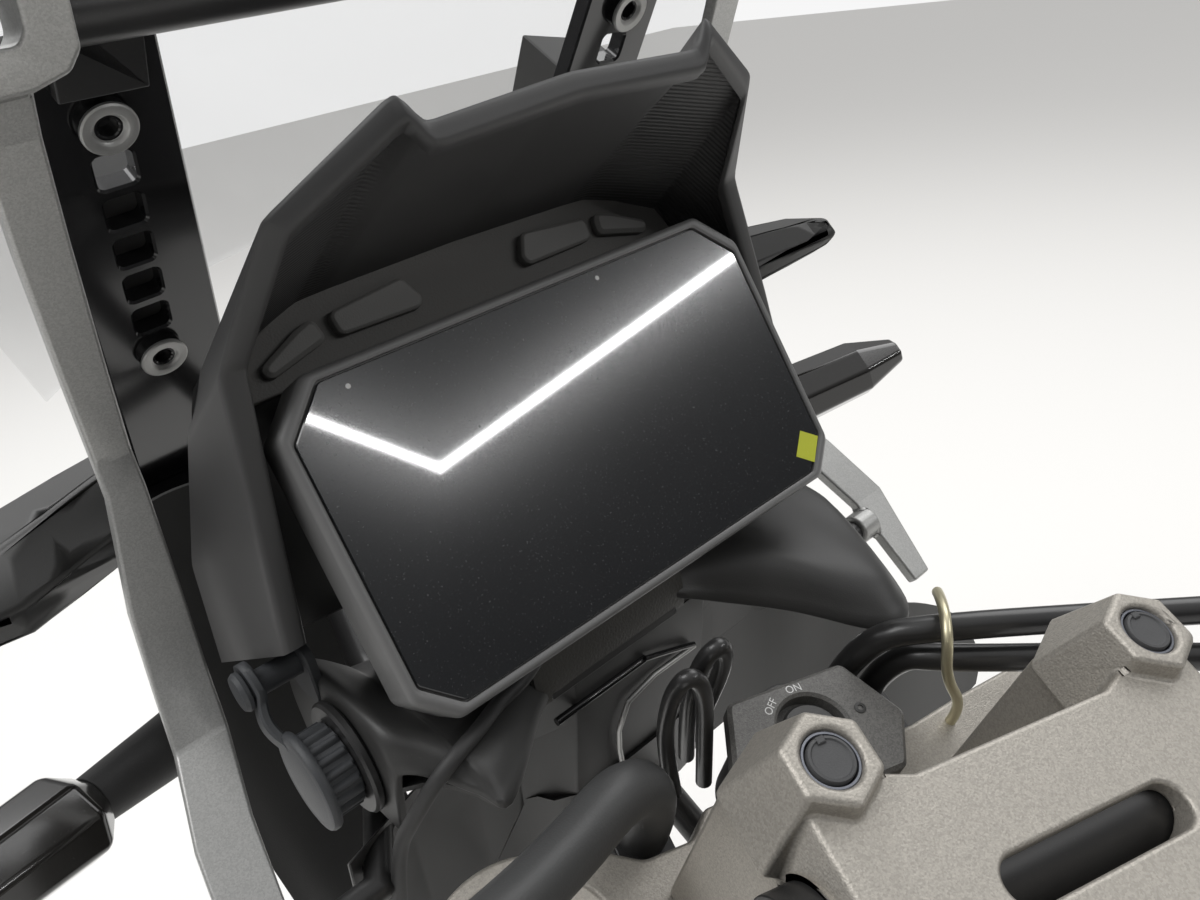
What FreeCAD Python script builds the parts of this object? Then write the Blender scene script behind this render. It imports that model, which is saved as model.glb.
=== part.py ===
import FreeCAD, Part
import math
import os

# Cockpit of an adventure motorcycle: the display with its hood and panels, the stay that
# carries them on the steering head, the windscreen on its ladder rails, and the steering
# group. Millimetres. X points right, Y forward, Z up. The origin is the middle of the
# weld face behind the steering head.

Vector = FreeCAD.Vector
Rotation = FreeCAD.Rotation
Placement = FreeCAD.Placement

# Driving dimensions: name in the sheet, value
SIZES = [
    # places of the three work frames
    ("displayLowForward", 79.18),
    ("displayLowHigh", 182.87),
    ("displayLean", 26.3),
    ("steerBack", 64.0),
    ("rake", 26.0),
    ("headHigh", 225.0),
    ("parkTurn", 17.1),
    ("railForward", 158.0),
    ("railHigh", 337.0),
    ("railLean", 34.0),
    ("railSkew", 3.6),
    ("railSpread", 89.5),
    # running gap between pieces that move, seat gap between pieces that don't
    ("runGap", 0.3),
    ("seatGap", 0.3),
    # display
    ("glassWide", 170.0),
    ("glassTall", 94.0),
    ("glassThick", 2.0),
    ("glassTopCut", 13.0),
    ("glassLowCut", 10.3),
    ("bezelRim", 3.2),
    ("bezelDeep", 16.0),
    ("housingDeep", 22.0),
    ("housingTaper", 9.0),
    # hood and the panel behind the display
    ("hoodWall", 3.0),
    ("hoodRootBack", 27.0),
    ("panelThick", 4.0),
    ("panelBossRadius", 7.0),
    ("padThick", 4.0),
    ("bracketThick", 4.0),
    ("bracketWide", 152.0),
    ("bracketLow", -38.0),
    ("bracketHigh", 72.0),
    # stay of tubes
    ("stayRadius", 6.0),
    ("stayForward", 135.0),
    ("stayHigh", 149.0),
    ("staySpread", 76.0),
    ("strutSpread", 13.0),
    ("armSpread", 66.0),
    ("armForward", 170.0),
    ("armHigh", 146.0),
    ("footSpread", 38.0),
    ("footDown", 175.0),
    ("outrigRadius", 4.5),
    # steering head
    ("headRadius", 30.0),
    ("headTop", -178.0),
    ("headLow", -345.0),
    ("headBore", 24.0),
    ("cupRadius", 31.8),
    ("cupTall", 8.0),
    ("gussetWide", 44.0),
    ("gussetTall", 96.0),
    # ladder rails, windscreen and the bar above them
    ("railThick", 6.0),
    ("railTop", 24.0),
    ("railFoot", 186.0),
    ("railHalf", 16.8),
    ("railFlare", 8.0),
    ("slotWide", 10.5),
    ("slotTall", 10.5),
    ("slotPitch", 14.0),
    ("slotCount", 5.0),
    ("bossDrop", 86.6),
    ("bossRadius", 7.0),
    ("bossProud", 2.5),
    ("bossBore", 2.5),
    ("slideWide", 26.0),
    ("screenWall", 3.0),
    ("barRadius", 7.0),
    ("barUp", 34.0),
    # silver side bars
    ("sideThick", 5.0),
    ("frameNear", 118.5),
    ("frameDeep", 18.0),
    ("frameLean", 0.45),
    ("eyeBore", 4.2),
    # cowls and the power socket
    ("cowlWall", 3.0),
    ("socketRadius", 12.0),
    ("socketLong", 11.0),
    ("socketFlange", 18.0),
    ("capRadius", 13.3),
    ("capSkirt", 11.0),
    ("capFlange", 3.0),
    ("capStrapWide", 9.0),
    ("capStudAcross", 24.2),
    ("capStudUp", 20.4),
    ("capRibs", 18.0),
    # steering: top clamp, risers, bar clamp, lock
    ("clampTop", -140.0),
    ("clampThick", 30.0),
    ("forkSpread", 103.0),
    ("forkForward", 24.0),
    ("forkBore", 25.0),
    ("forkBoss", 31.0),
    ("stemRadius", 14.0),
    ("stemNutRadius", 19.0),
    ("stemNutTall", 9.0),
    ("barForward", -11.0),
    ("barHigh", -72.0),
    ("gripBarRadius", 11.0),
    ("boltSpread", 49.0),
    ("boltPitch", 27.6),
    ("boltTop", -47.0),
    ("boltRadius", 7.6),
    ("boltRecess", 9.4),
    ("clampBarRadius", 14.3),
    ("clampHalfWide", 62.0),
    ("clampRoof", -53.0),
    ("clampSplit", 0.6),
    ("slotBack", 8.0),
    ("slotHalfLong", 27.0),
    ("slotHalfWide", 5.5),
    ("lockForward", 57.0),
    ("lockFace", -128.0),
    ("lockPlateThick", 7.0),
    ("lockBodyRadius", 16.5),
    ("lockBodyLong", 50.0),
    ("keyBack", 4.5),
    ("keyRadius", 12.0),
    ("keyDeep", 6.0),
    ("gripLong", 122.0),
    ("gripRadius", 16.5),
    ("barEndRadius", 17.5),
    ("barEndLong", 22.0),
    ("guideRadius", 1.75),
    ("hoseRadius", 4.5),
    ("sleeveRadius", 8.0),
]
size = dict(SIZES)

doc = FreeCAD.newDocument("cockpit")
sheet = doc.addObject("Spreadsheet::Sheet", "sizes")
for row, (alias, value) in enumerate(SIZES, start=1):
    sheet.set(f"A{row}", alias)
    sheet.set(f"B{row}", str(value))
    sheet.setAlias(f"B{row}", alias)
doc.recompute()

SIDES = {"left": -1, "right": 1}
AXIS_X = Vector(1, 0, 0)
AXIS_Y = Vector(0, 1, 0)
AXIS_Z = Vector(0, 0, 1)


def tilted(y, z, degrees):
    """A frame on the middle plane, turned about X."""
    return Placement(Vector(0, y, z), Rotation(AXIS_X, degrees))


ROW = Placement()
# display frame: x across the glass, y up it, z out of it towards the rider
LEAN = math.radians(90 - size["displayLean"])
DISPLAY = tilted(size["displayLowForward"] + size["glassTall"] / 2 * math.cos(LEAN),
                 size["displayLowHigh"] + size["glassTall"] / 2 * math.sin(LEAN), 90 - size["displayLean"])
# head frame: z up the steering axis, y forward of it; the steer frame turns with the bars
HEAD = tilted(-size["steerBack"], size["headHigh"], size["rake"])
STEER = HEAD.multiply(Placement(Vector(), Rotation(AXIS_Z, -size["parkTurn"])))


def railFrame(side):
    """Rail frame: y up the rail, z out of it towards the rider, origin at the upper boss."""
    sign = SIDES[side]
    spot = Vector(sign * size["railSpread"], size["railForward"], size["railHigh"])
    lean = Rotation(AXIS_X, 90 + size["railLean"])
    return Placement(spot, lean.multiply(Rotation(AXIS_Z, -sign * size["railSkew"])))


RAILS_MIDDLE = tilted(size["railForward"], size["railHigh"], 90 + size["railLean"])

subparts = []


def keep(item, label, place=ROW):
    item.Label = label
    item.Placement = place
    subparts.append(item)
    return item


def shapeNode(label, shape, place=ROW):
    """A sub-part whose shape is worked out below, in the frame that place gives."""
    item = doc.addObject("Part::Feature", label)
    item.Shape = shape
    return keep(item, label, place)


# Sketched bodies

def newBody(label):
    return doc.addObject("PartDesign::Body", label)


def sketch(body, name, role="XY_Plane", offset="0"):
    """A sketch on one of the body's own planes, offset along its normal."""
    item = body.newObject("Sketcher::SketchObject", name)
    plane = [f for f in body.Origin.OriginFeatures if f.Role == role][0]
    item.AttachmentSupport = [(plane, "")]
    item.MapMode = "FlatFace"
    item.setExpression(".AttachmentOffset.Base.z", offset)
    return item


def outline(item, points):
    """A closed run of lines whose corners are held by named distances from the origin."""
    import Sketcher
    count = len(points)
    for k in range(count):
        start, end = points[k], points[(k + 1) % count]
        item.addGeometry(Part.LineSegment(Vector(start[0], start[1], 0), Vector(end[0], end[1], 0)))
    for k in range(count):
        item.addConstraint(Sketcher.Constraint("Coincident", k, 2, (k + 1) % count, 1))
    return item


def pinCorners(item, cells):
    """Bind each corner's x and y to a formula in the sheet's names."""
    import Sketcher
    for k, (across, up) in enumerate(cells):
        for kind, letter, cell in (("DistanceX", "x", across), ("DistanceY", "y", up)):
            value = getattr(item.Geometry[k].StartPoint, letter)
            at = item.addConstraint(Sketcher.Constraint(kind, -1, 1, k, 1, value))
            item.renameConstraint(at, f"corner{k}{letter}")
            item.setExpression(f"Constraints.corner{k}{letter}", cell)


def circle(item, x, y, radius, cells):
    """A circle held by its centre and radius, each bound to a formula."""
    import Sketcher
    at = item.addGeometry(Part.Circle(Vector(x, y, 0), AXIS_Z, radius))
    for kind, letter, cell, value in (("DistanceX", "x", cells[0], x), ("DistanceY", "y", cells[1], y)):
        made = item.addConstraint(Sketcher.Constraint(kind, -1, 1, at, 3, value))
        item.renameConstraint(made, f"centre{at}{letter}")
        item.setExpression(f"Constraints.centre{at}{letter}", cell)
    made = item.addConstraint(Sketcher.Constraint("Radius", at, radius))
    item.renameConstraint(made, f"radius{at}")
    item.setExpression(f"Constraints.radius{at}", cells[2])
    return item


def pad(body, profile, length, down=False):
    item = body.newObject("PartDesign::Pad", profile.Name + "Pad")
    item.Profile = profile
    item.Reversed = down
    item.setExpression("Length", length)
    return item


def pocket(body, profile, length, through=False, up=False):
    item = body.newObject("PartDesign::Pocket", profile.Name + "Pocket")
    item.Profile = profile
    item.Reversed = up
    if through:
        item.Type = 1
        item.Midplane = True
    else:
        item.setExpression("Length", length)
    return item


def octagonCells(grow="0"):
    """Corner formulas of the display's outline, grown all round by a rim."""
    wide = f"(sizes.glassWide / 2 + {grow})"
    tall = f"(sizes.glassTall / 2 + {grow})"
    top, low = "sizes.glassTopCut", "sizes.glassLowCut"
    return [
        (f"{wide} - {top}", tall), (wide, f"{tall} - {top}"),
        (wide, f"-({tall} - {low})"), (f"{wide} - {low}", f"-{tall}"),
        (f"-({wide} - {low})", f"-{tall}"), (f"-{wide}", f"-({tall} - {low})"),
        (f"-{wide}", f"{tall} - {top}"), (f"-({wide} - {top})", tall),
    ]


def octagonPoints(grow=0.0):
    wide = size["glassWide"] / 2 + grow
    tall = size["glassTall"] / 2 + grow
    top, low = size["glassTopCut"], size["glassLowCut"]
    right = [(wide - top, tall), (wide, tall - top), (wide, -(tall - low)), (wide - low, -tall)]
    return right + [(-x, y) for x, y in reversed(right)]


def octagonSketch(body, name, offset, grow=0.0, growCell="0"):
    item = sketch(body, name, offset=offset)
    outline(item, octagonPoints(grow))
    pinCorners(item, octagonCells(growCell))
    return item


# Free shapes

def polygonFace(points, place=None):
    wire = Part.makePolygon([Vector(*p) for p in points] + [Vector(*points[0])])
    face = Part.Face(wire)
    if place is not None:
        face.Placement = place
    return face


def box(low, high):
    low, high = Vector(*low), Vector(*high)
    return Part.makeBox(high.x - low.x, high.y - low.y, high.z - low.z, low)


def rod(start, end, radius):
    start, end = Vector(*start), Vector(*end)
    along = end - start
    return Part.makeCylinder(radius, along.Length, start, along)


def bentRod(points, radius, bend):
    """A round bar along straight runs joined by tangent arcs of one bend radius."""
    return Part.Wire(roundedRuns(points, [bend] * (len(points) - 2))).makePipeShell(
        [Part.Wire(Part.makeCircle(radius, Vector(*points[0]), Vector(*points[1]) - Vector(*points[0])))],
        True, False)


def roundedRuns(points, bends):
    """Line and arc edges through the points, each inner corner rounded by its own radius."""
    corners = [Vector(*p) for p in points]
    edges = []
    start = corners[0]
    for here, after, bend in zip(corners[1:-1], corners[2:], bends):
        back = (start - here).normalize()
        ahead = (after - here).normalize()
        half = back.getAngle(ahead) / 2
        trim = bend / math.tan(half)
        first, last = here + back * trim, here + ahead * trim
        middle = here + (back + ahead).normalize() * (bend / math.sin(half) - bend)
        edges.append(Part.LineSegment(start, first).toShape())
        edges.append(Part.Arc(first, middle, last).toShape())
        start = last
    edges.append(Part.LineSegment(start, corners[-1]).toShape())
    return edges


def cordRadii(points, share=0.45):
    """The largest bend at each corner: a share of the shorter run over tan of half the turn."""
    corners = [Vector(*p) for p in points]
    radii = []
    for before, here, after in zip(corners, corners[1:], corners[2:]):
        turn = (here - before).getAngle(after - here)
        shorter = min((here - before).Length, (after - here).Length)
        radii.append(share * shorter / math.tan(turn / 2))
    return radii


def cord(label, points, radius, place):
    radii = cordRadii(points)
    path = Part.Wire(roundedRuns(points, radii))
    start = Vector(*points[0])
    ring = Part.Wire(Part.makeCircle(radius, start, Vector(*points[1]) - start))
    tube = path.makePipeShell([ring], True, False)
    expected = math.pi * radius ** 2 * path.Length
    print(label, "length", round(path.Length, 1), "bends", [round(r, 1) for r in radii],
          "volume share", round(tube.Volume / expected, 4))
    return shapeNode(label, tube, place)


def skin(stations, wall):
    """A wall lofted straight through stations, each a line of points and the inward way."""
    wires = []
    for points, inward in stations:
        outer = [Vector(*p) for p in points]
        push = Vector(*inward).normalize() * wall
        inner = [p + push for p in reversed(outer)]
        wires.append(Part.makePolygon(outer + inner + [outer[0]]))
    return Part.makeLoft(wires, True, True)


def prism(points, way):
    """Extrude the closed run of points."""
    return polygonFace(points).extrude(Vector(*way))


def mirrored(shape):
    return shape.mirror(Vector(), AXIS_X)


def filleted(shape, radius, picks):
    """Round the edges that picks returns True for."""
    edges = [e for e in shape.Edges if picks(e)]
    return shape.makeFillet(radius, edges)


# Display

def displayGlass():
    body = newBody("display_glass")
    face = octagonSketch(body, "glassOutline", "-sizes.glassThick")
    body.Tip = pad(body, face, "sizes.glassThick")
    keep(body, "display_glass", DISPLAY)


def displayBezel():
    rim = size["bezelRim"]
    body = newBody("display_bezel")
    face = octagonSketch(body, "bezelOutline", "-sizes.bezelDeep", rim, "sizes.bezelRim")
    pad(body, face, "sizes.bezelDeep + 0.6")
    seat = octagonSketch(body, "bezelSeat", "1", 0.1, "0.1")
    body.Tip = pocket(body, seat, "1 + sizes.glassThick")
    keep(body, "display_bezel", DISPLAY)


def displayHousing():
    """Rear half of the display's case, tapering back to its mounting face."""
    deep, taper = size["bezelDeep"], size["housingTaper"]
    front = [(x, y, -deep) for x, y in octagonPoints(size["bezelRim"] - 1.5)]
    back = [(x, y, -deep - size["housingDeep"]) for x, y in octagonPoints(size["bezelRim"] - taper)]
    wires = [Part.makePolygon([Vector(*p) for p in ring + ring[:1]]) for ring in (front, back)]
    shapeNode("display_housing", Part.makeLoft(wires, True, True), DISPLAY)


# The tables are drawn round a glass of 170 by 94, and follow its real half width and height
MORE_WIDE = size["glassWide"] / 2 - 85.0
MORE_TALL = size["glassTall"] / 2 - 47.0


def beside(x):
    """A drawn distance from the middle plane, moved with the display's side."""
    return x + math.copysign(MORE_WIDE, x) if abs(x) > 12 else x


def above(y):
    """A drawn height on the display, moved with its top or lower edge."""
    return y + MORE_TALL if y > 30 else y - MORE_TALL


# Hood: root and rim corners from the lower tip over the top to the middle, display frame
HOOD_STATIONS = [
    # name, root, rim, inward
    ("tip", (109.0, -14.0, -88.0), (105.5, -14.5, -22.0), (-1.0, 0.0, 0.0)),
    ("cheek", (106.0, 18.0, -74.0), (101.0, 17.0, -9.0), (-1.0, 0.0, 0.0)),
    ("kink", (98.0, 50.0, -40.0), (95.0, 56.8, 6.5), (-1.0, -0.15, 0.0)),
    ("corner", (89.0, 65.5, -27.0), (82.0, 79.3, 42.6), (-0.65, -0.75, 0.0)),
    ("peak", (57.0, 76.5, -27.0), (50.0, 91.8, 63.7), (-0.15, -1.0, 0.0)),
    ("notch", (46.0, 77.0, -27.0), (44.7, 84.5, 61.2), (0.0, -1.0, 0.0)),
    ("middle", (0.0, 77.8, -27.0), (0.0, 87.0, 62.0), (0.0, -1.0, 0.0)),
]


def flip(point):
    return Vector(-point[0], point[1], point[2])


def displayHood():
    half = []
    for _, root, rim, inward in HOOD_STATIONS:
        half.append(([(beside(x), above(y), z) for x, y, z in (root, rim)], inward))
    other = [([flip(p) for p in points], flip(inward)) for points, inward in reversed(half[:-1])]
    shapeNode("display_hood", skin(half + other, size["hoodWall"]), DISPLAY)


# Panel behind the display's top edge: outline corners of its right half, display frame
PANEL_RIGHT = [(20.7, 77.0), (46.0, 76.2), (57.0, 75.4), (85.0, 61.8), (88.5, 50.5)]
PADS = [
    # name, corners on the pad's face, display frame
    ("inner_pad", [(19.7, 61.8), (23.7, 69.4), (50.4, 66.8), (49.7, 59.1), (21.5, 58.6)]),
    ("outer_pad", [(53.5, 59.8), (55.0, 67.5), (62.0, 65.3), (76.0, 58.6), (74.0, 54.5)]),
]


def hoodPanel():
    right = [(beside(x), above(y)) for x, y in PANEL_RIGHT]
    ring = right + [(-x, y) for x, y in reversed(right)]
    back = -size["hoodRootBack"] - size["panelThick"]
    plate = prism([(x, y, back) for x, y in ring], (0, 0, size["panelThick"]))
    bracketFace = -size["bezelDeep"] - size["housingDeep"]
    for x in (-30.0, 30.0):
        boss = rod((x, above(62), bracketFace), (x, above(62), back + 1), size["panelBossRadius"])
        plate = plate.fuse(boss)
    shapeNode("hood_panel", plate.removeSplitter(), DISPLAY)


def panelPads():
    """Four raised pads on the panel, two each side of its recess."""
    blocks = []
    for sign in SIDES.values():
        for _, corners in PADS:
            ring = [(sign * beside(x), above(y), -size["hoodRootBack"]) for x, y in corners]
            blocks.append(prism(ring, (0, 0, size["padThick"])))
    shapeNode("panel_pads", Part.makeCompound(blocks), DISPLAY)


def displayBracket():
    """Steel plate that carries the display and the hood panel."""
    face = -size["bezelDeep"] - size["housingDeep"]
    half = size["bracketWide"] / 2
    low, high = size["bracketLow"], above(size["bracketHigh"])
    ring = [(-half, low), (half, low), (half, high - 26), (half - 24, high), (-half + 24, high), (-half, high - 26)]
    plate = prism([(x, y, face - size["bracketThick"]) for x, y in ring], (0, 0, size["bracketThick"]))
    window = box((-34, low + 18, face - 2 * size["bracketThick"]), (34, 36, face + 1))
    shapeNode("display_bracket", plate.cut(window), DISPLAY)


# Stay and steering head

def footSpot(x, drop, out):
    """A point of the rails' middle frame in the row frame."""
    return RAILS_MIDDLE.multVec(Vector(x, -drop, out))


def headSpot(x, forward, up):
    return HEAD.multVec(Vector(x, forward, up))


def displaySpot(x, up, out):
    return DISPLAY.multVec(Vector(x, up, out))


def signalRoot(sign):
    return Vector(sign * 112.3, 205, 137)


def signalWay(sign):
    """Unit direction out along a turn signal's stalk."""
    return Vector(sign * 45.7, -23, 9).normalize()


def bracketLug(sign, grow=0.0):
    """Lug of the stay on the display bracket's back, up from the lateral tube."""
    back = -size["bezelDeep"] - size["housingDeep"] - size["bracketThick"]
    high, low = displaySpot(0, -14, back - grow), displaySpot(0, -38, back - grow)
    y, z = size["stayForward"], size["stayHigh"]
    ring = [(high.y, high.z), (low.y - grow, low.z), (y - 6 - grow, z), (y + 6 + grow, z + 1)]
    near = sign * 71 - 4 - grow
    return prism([(near, *spot) for spot in ring], (8 + 2 * grow, 0, 0))


def tubeRun(points, radius):
    """Straight tubes through the points, with a ball at each inner corner."""
    shapes = [rod(*ends, radius) for ends in zip(points, points[1:])]
    return shapes + [Part.makeSphere(radius, Vector(*point)) for point in points[1:-1]]


def outriggerRun(sign):
    """Points of the thin tube from the stay's corner out to a side bar."""
    x, y, z = BAR_SPOT
    points = [(size["staySpread"], size["stayForward"], size["stayHigh"]), (90, 125, 136), (107, y, z), (beside(x), y, z)]
    return [Vector(sign * px, py, pz) for px, py, pz in points]


def cockpitStay():
    radius, thin = size["stayRadius"], size["outrigRadius"]
    spread, foot, strut = size["staySpread"], size["footSpread"], size["strutSpread"]
    lateral = size["stayForward"], size["stayHigh"]
    out = -size["railThick"] - radius - size["seatGap"]
    frame = rod((-spread, *lateral), (spread, *lateral), radius)
    frame = frame.fuse(rod(footSpot(-100.7, size["footDown"], out), footSpot(100.7, size["footDown"], out), radius))
    for sign in SIDES.values():
        corner = Vector(sign * spread, *lateral)
        elbow = Vector(sign * size["armSpread"], size["armForward"], size["armHigh"])
        footEnd = footSpot(sign * foot, size["footDown"], out)
        arm = footEnd - elbow
        # out to the side bar, and out to the turn signal
        outrigger = outriggerRun(sign)
        seat = signalRoot(sign) - signalWay(sign) * size["seatGap"]
        branch = [elbow + arm * 0.35, seat - signalWay(sign) * 14, seat]
        # from the head's front, under the swing of the lock, up to the lateral tube
        riser = [headSpot(sign * strut, size["headRadius"] - 6, -236), headSpot(sign * strut, 104, -226),
                 Vector(sign * strut, *lateral)]
        pieces = tubeRun([corner, elbow, footEnd], radius) + tubeRun(riser, radius)
        pieces += tubeRun(outrigger, thin) + tubeRun(branch, thin)
        frame = frame.fuse(pieces + [Part.makeSphere(radius, corner), bracketLug(sign)])
    saddle = rod((0, 0, size["headLow"]), (0, 0, size["headTop"]), size["headRadius"] + size["seatGap"])
    saddle.Placement = HEAD
    frame = frame.cut(saddle).cut(gussetBox(size["seatGap"]))
    shapeNode("cockpit_stay", frame.removeSplitter())


def gussetBox(grow=0.0):
    wide, tall = size["gussetWide"] / 2 + grow, size["gussetTall"] / 2 + grow
    return box((-wide, 0, -tall), (wide, 60 + grow, tall))


def steeringHead():
    """Head tube with its bearing seats and the gusset whose flat face welds to the frame."""
    top, low, radius = size["headTop"], size["headLow"], size["headRadius"]
    tube = rod((0, 0, low), (0, 0, top), radius)
    for z in (low, top - size["cupTall"]):
        tube = tube.fuse(rod((0, 0, z), (0, 0, z + size["cupTall"]), size["cupRadius"]))
    tube.Placement = HEAD
    bore = rod((0, 0, low - 1), (0, 0, top + 1), size["headBore"])
    bore.Placement = HEAD
    shapeNode("steering_head", tube.fuse(gussetBox()).cut(bore).removeSplitter())


# Rails, windscreen and upper bar

def ladderRail(side):
    sign = SIDES[side]
    label = f"screen_rail_{side}"
    body = newBody(label)
    face = sketch(body, label + "Outline", offset="-sizes.railThick")
    half, flare = size["railHalf"], size["railFlare"]
    top, foot = size["railTop"], size["railFoot"]
    outline(face, [(-sign * half, top), (sign * half, top), (sign * half, -foot), (-sign * (half + flare), -foot)])
    pinCorners(face, [
        (f"{-sign} * sizes.railHalf", "sizes.railTop"),
        (f"{sign} * sizes.railHalf", "sizes.railTop"),
        (f"{sign} * sizes.railHalf", "-sizes.railFoot"),
        (f"{-sign} * (sizes.railHalf + sizes.railFlare)", "-sizes.railFoot")])
    pad(body, face, "sizes.railThick")
    bosses = sketch(body, label + "Bosses", offset="-sizes.railThick")
    circle(bosses, 0, 0, size["bossRadius"], ("0", "0", "sizes.bossRadius"))
    circle(bosses, 0, -size["bossDrop"], size["bossRadius"], ("0", "-sizes.bossDrop", "sizes.bossRadius"))
    pad(body, bosses, "sizes.railThick + sizes.bossProud")
    bores = sketch(body, label + "Bores", offset="-sizes.railThick")
    circle(bores, 0, 0, size["bossBore"], ("0", "0", "sizes.bossBore"))
    circle(bores, 0, -size["bossDrop"], size["bossBore"], ("0", "-sizes.bossDrop", "sizes.bossBore"))
    pocket(body, bores, "40", through=True)
    slot = sketch(body, label + "Slot", offset="0")
    wide, tall, first = size["slotWide"] / 2, size["slotTall"] / 2, 15.3
    corners = [(-wide, -first + tall), (wide, -first + tall), (wide, -first - tall), (-wide, -first - tall)]
    outline(slot, corners)
    middle = "(sizes.bossDrop - 4 * sizes.slotPitch) / 2"
    pinCorners(slot, [
        ("-sizes.slotWide / 2", f"-{middle} + sizes.slotTall / 2"),
        ("sizes.slotWide / 2", f"-{middle} + sizes.slotTall / 2"),
        ("sizes.slotWide / 2", f"-{middle} - sizes.slotTall / 2"),
        ("-sizes.slotWide / 2", f"-{middle} - sizes.slotTall / 2")])
    window = pocket(body, slot, "sizes.railThick + 1")
    doc.recompute()
    ladder = body.newObject("PartDesign::LinearPattern", label + "Ladder")
    ladder.Originals = [window]
    ladder.Direction = ([f for f in body.Origin.OriginFeatures if f.Role == "Y_Axis"][0], [""])
    ladder.Reversed = True
    ladder.setExpression("Length", "4 * sizes.slotPitch")
    ladder.setExpression("Occurrences", "sizes.slotCount")
    body.Tip = ladder
    keep(body, label, railFrame(side))


def railClamp(side):
    """Glossy block that holds the rail's foot down on the stay."""
    sign = SIDES[side]
    half = size["railHalf"] + 2
    block = box((-half - (size["railFlare"] if sign > 0 else 0), -size["railFoot"] + 4, 0),
                (half + (size["railFlare"] if sign < 0 else 0), -size["railFoot"] + 34, 11))
    block = filleted(block, 3.0, lambda e: e.BoundBox.ZMin > 10.9 and e.BoundBox.YLength < 0.1)
    shapeNode(f"rail_clamp_{side}", block, railFrame(side))


def accessoryBar():
    """Cross bar on top of the rails, from side frame to side frame, with a plate on each rail."""
    radius = size["barRadius"]
    up = size["barUp"]
    reach = beside(100)
    bar = rod((-reach, up, radius), (reach, up, radius), radius)
    for sign in SIDES.values():
        plate = box((sign * size["railSpread"] - 11, 10, 0), (sign * size["railSpread"] + 11, up + 4, 4))
        bar = bar.fuse(plate)
    shapeNode("accessory_bar", bar.removeSplitter(), RAILS_MIDDLE)


# Windscreen: height up the rails, half width, nose and rearward sweep of its edge
SCREEN_STATIONS = [(-100.0, 118.0, 50.0, -10.3), (-20.0, 138.0, 50.0, 1.5), (110.0, 142.0, 48.0, 9.5),
                   (190.0, 118.0, 46.0, 0.0), (226.0, 74.0, 45.0, -22.0)]
SCREEN_COLUMNS = 10


def screenLine(height, half, nose, edge):
    """Points across the windscreen at one height, on a parabola from edge to nose to edge."""
    points = []
    for k in range(SCREEN_COLUMNS + 1):
        share = 2 * k / SCREEN_COLUMNS - 1
        points.append((beside(half) * share, height, -nose + (nose + edge) * share ** 2))
    return points


def windscreen():
    stations = [(screenLine(*row), (0, 0, 1)) for row in SCREEN_STATIONS]
    shapeNode("windscreen", skin(stations, size["screenWall"]), RAILS_MIDDLE)


def screenDepth(row, x):
    """How far out the windscreen's rear face lies at x, on the station that row gives."""
    _, half, nose, edge = row
    half = beside(half)
    return -nose + (nose + edge) * (x / half) ** 2 + size["screenWall"]


def screenSlides():
    """Blocks behind the windscreen that run on the rails' front faces."""
    near = -size["railThick"] - size["runGap"]
    half = size["slideWide"] / 2
    rows = SCREEN_STATIONS[:2]
    for side, sign in SIDES.items():
        x = size["railSpread"] - 3
        wires = []
        for up in (-85.0, -25.0):
            share = (up - rows[0][0]) / (rows[1][0] - rows[0][0])
            inner, outer = [(1 - share) * screenDepth(rows[0], px) + share * screenDepth(rows[1], px)
                            for px in (x - half, x + half)]
            ring = [(x - half, near), (x + half, near), (x + half, outer + 0.9), (x - half, inner + 1.9)]
            points = [Vector(sign * px, up, pz) for px, pz in ring]
            wires.append(Part.makePolygon(points + points[:1]))
        shapeNode(f"screen_slide_{side}", Part.makeLoft(wires, True, True), RAILS_MIDDLE)


# Side bars: x, y and z down the inner edge of the rider's face, and the width across
SIDE_STATIONS = [
    (110.0, 123.0, 350.0, 13.0),
    (110.0, 132.0, 338.0, 13.0),
    (110.0, 144.5, 313.0, 12.7),
    (110.5, 157.0, 279.0, 11.5),
    (111.0, 164.5, 253.5, 10.5),
    (111.5, 162.5, 243.0, 10.8),
    (113.5, 161.5, 208.5, 15.5),
    (116.0, 156.5, 187.5, 16.0),
    (119.0, 146.5, 169.5, 16.5),
    (126.0, 125.5, 153.0, 17.5),
    (131.0, 103.5, 134.0, 17.0),
    (134.0, 78.0, 103.5, 10.0),
]
# top frame of a side bar: x and z of its outline, then of its opening
SIDE_FRAME = [(100, 354), (103, 350), (111, 347.5), (125, 347), (128, 351), (128, 371), (125, 375), (104, 375), (100, 371)]
SIDE_WINDOW = [(110, 359), (112, 356.5), (120, 356.5), (122, 359), (122, 366), (120, 368.5), (112, 368.5), (110, 366)]
# end of the outrigger, on the boss behind a side bar's lower part
BAR_SPOT = (124.0, 100.5, 125.0)


def offsetLine(line, distance):
    """The line moved sideways by a distance, with mitred corners."""
    points = [Vector(0, *p) for p in line]
    moved = []
    for k, here in enumerate(points):
        before = (here - points[k - 1]).normalize() if k > 0 else None
        after = (points[k + 1] - here).normalize() if k < len(points) - 1 else None
        first = before or after
        last = after or before
        side1 = Vector(0, first.z, -first.y)
        side2 = Vector(0, last.z, -last.y)
        half = (side1 + side2).normalize()
        moved.append(here - half * (distance / half.dot(side1)))
    return [(p.y, p.z) for p in moved]


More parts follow.
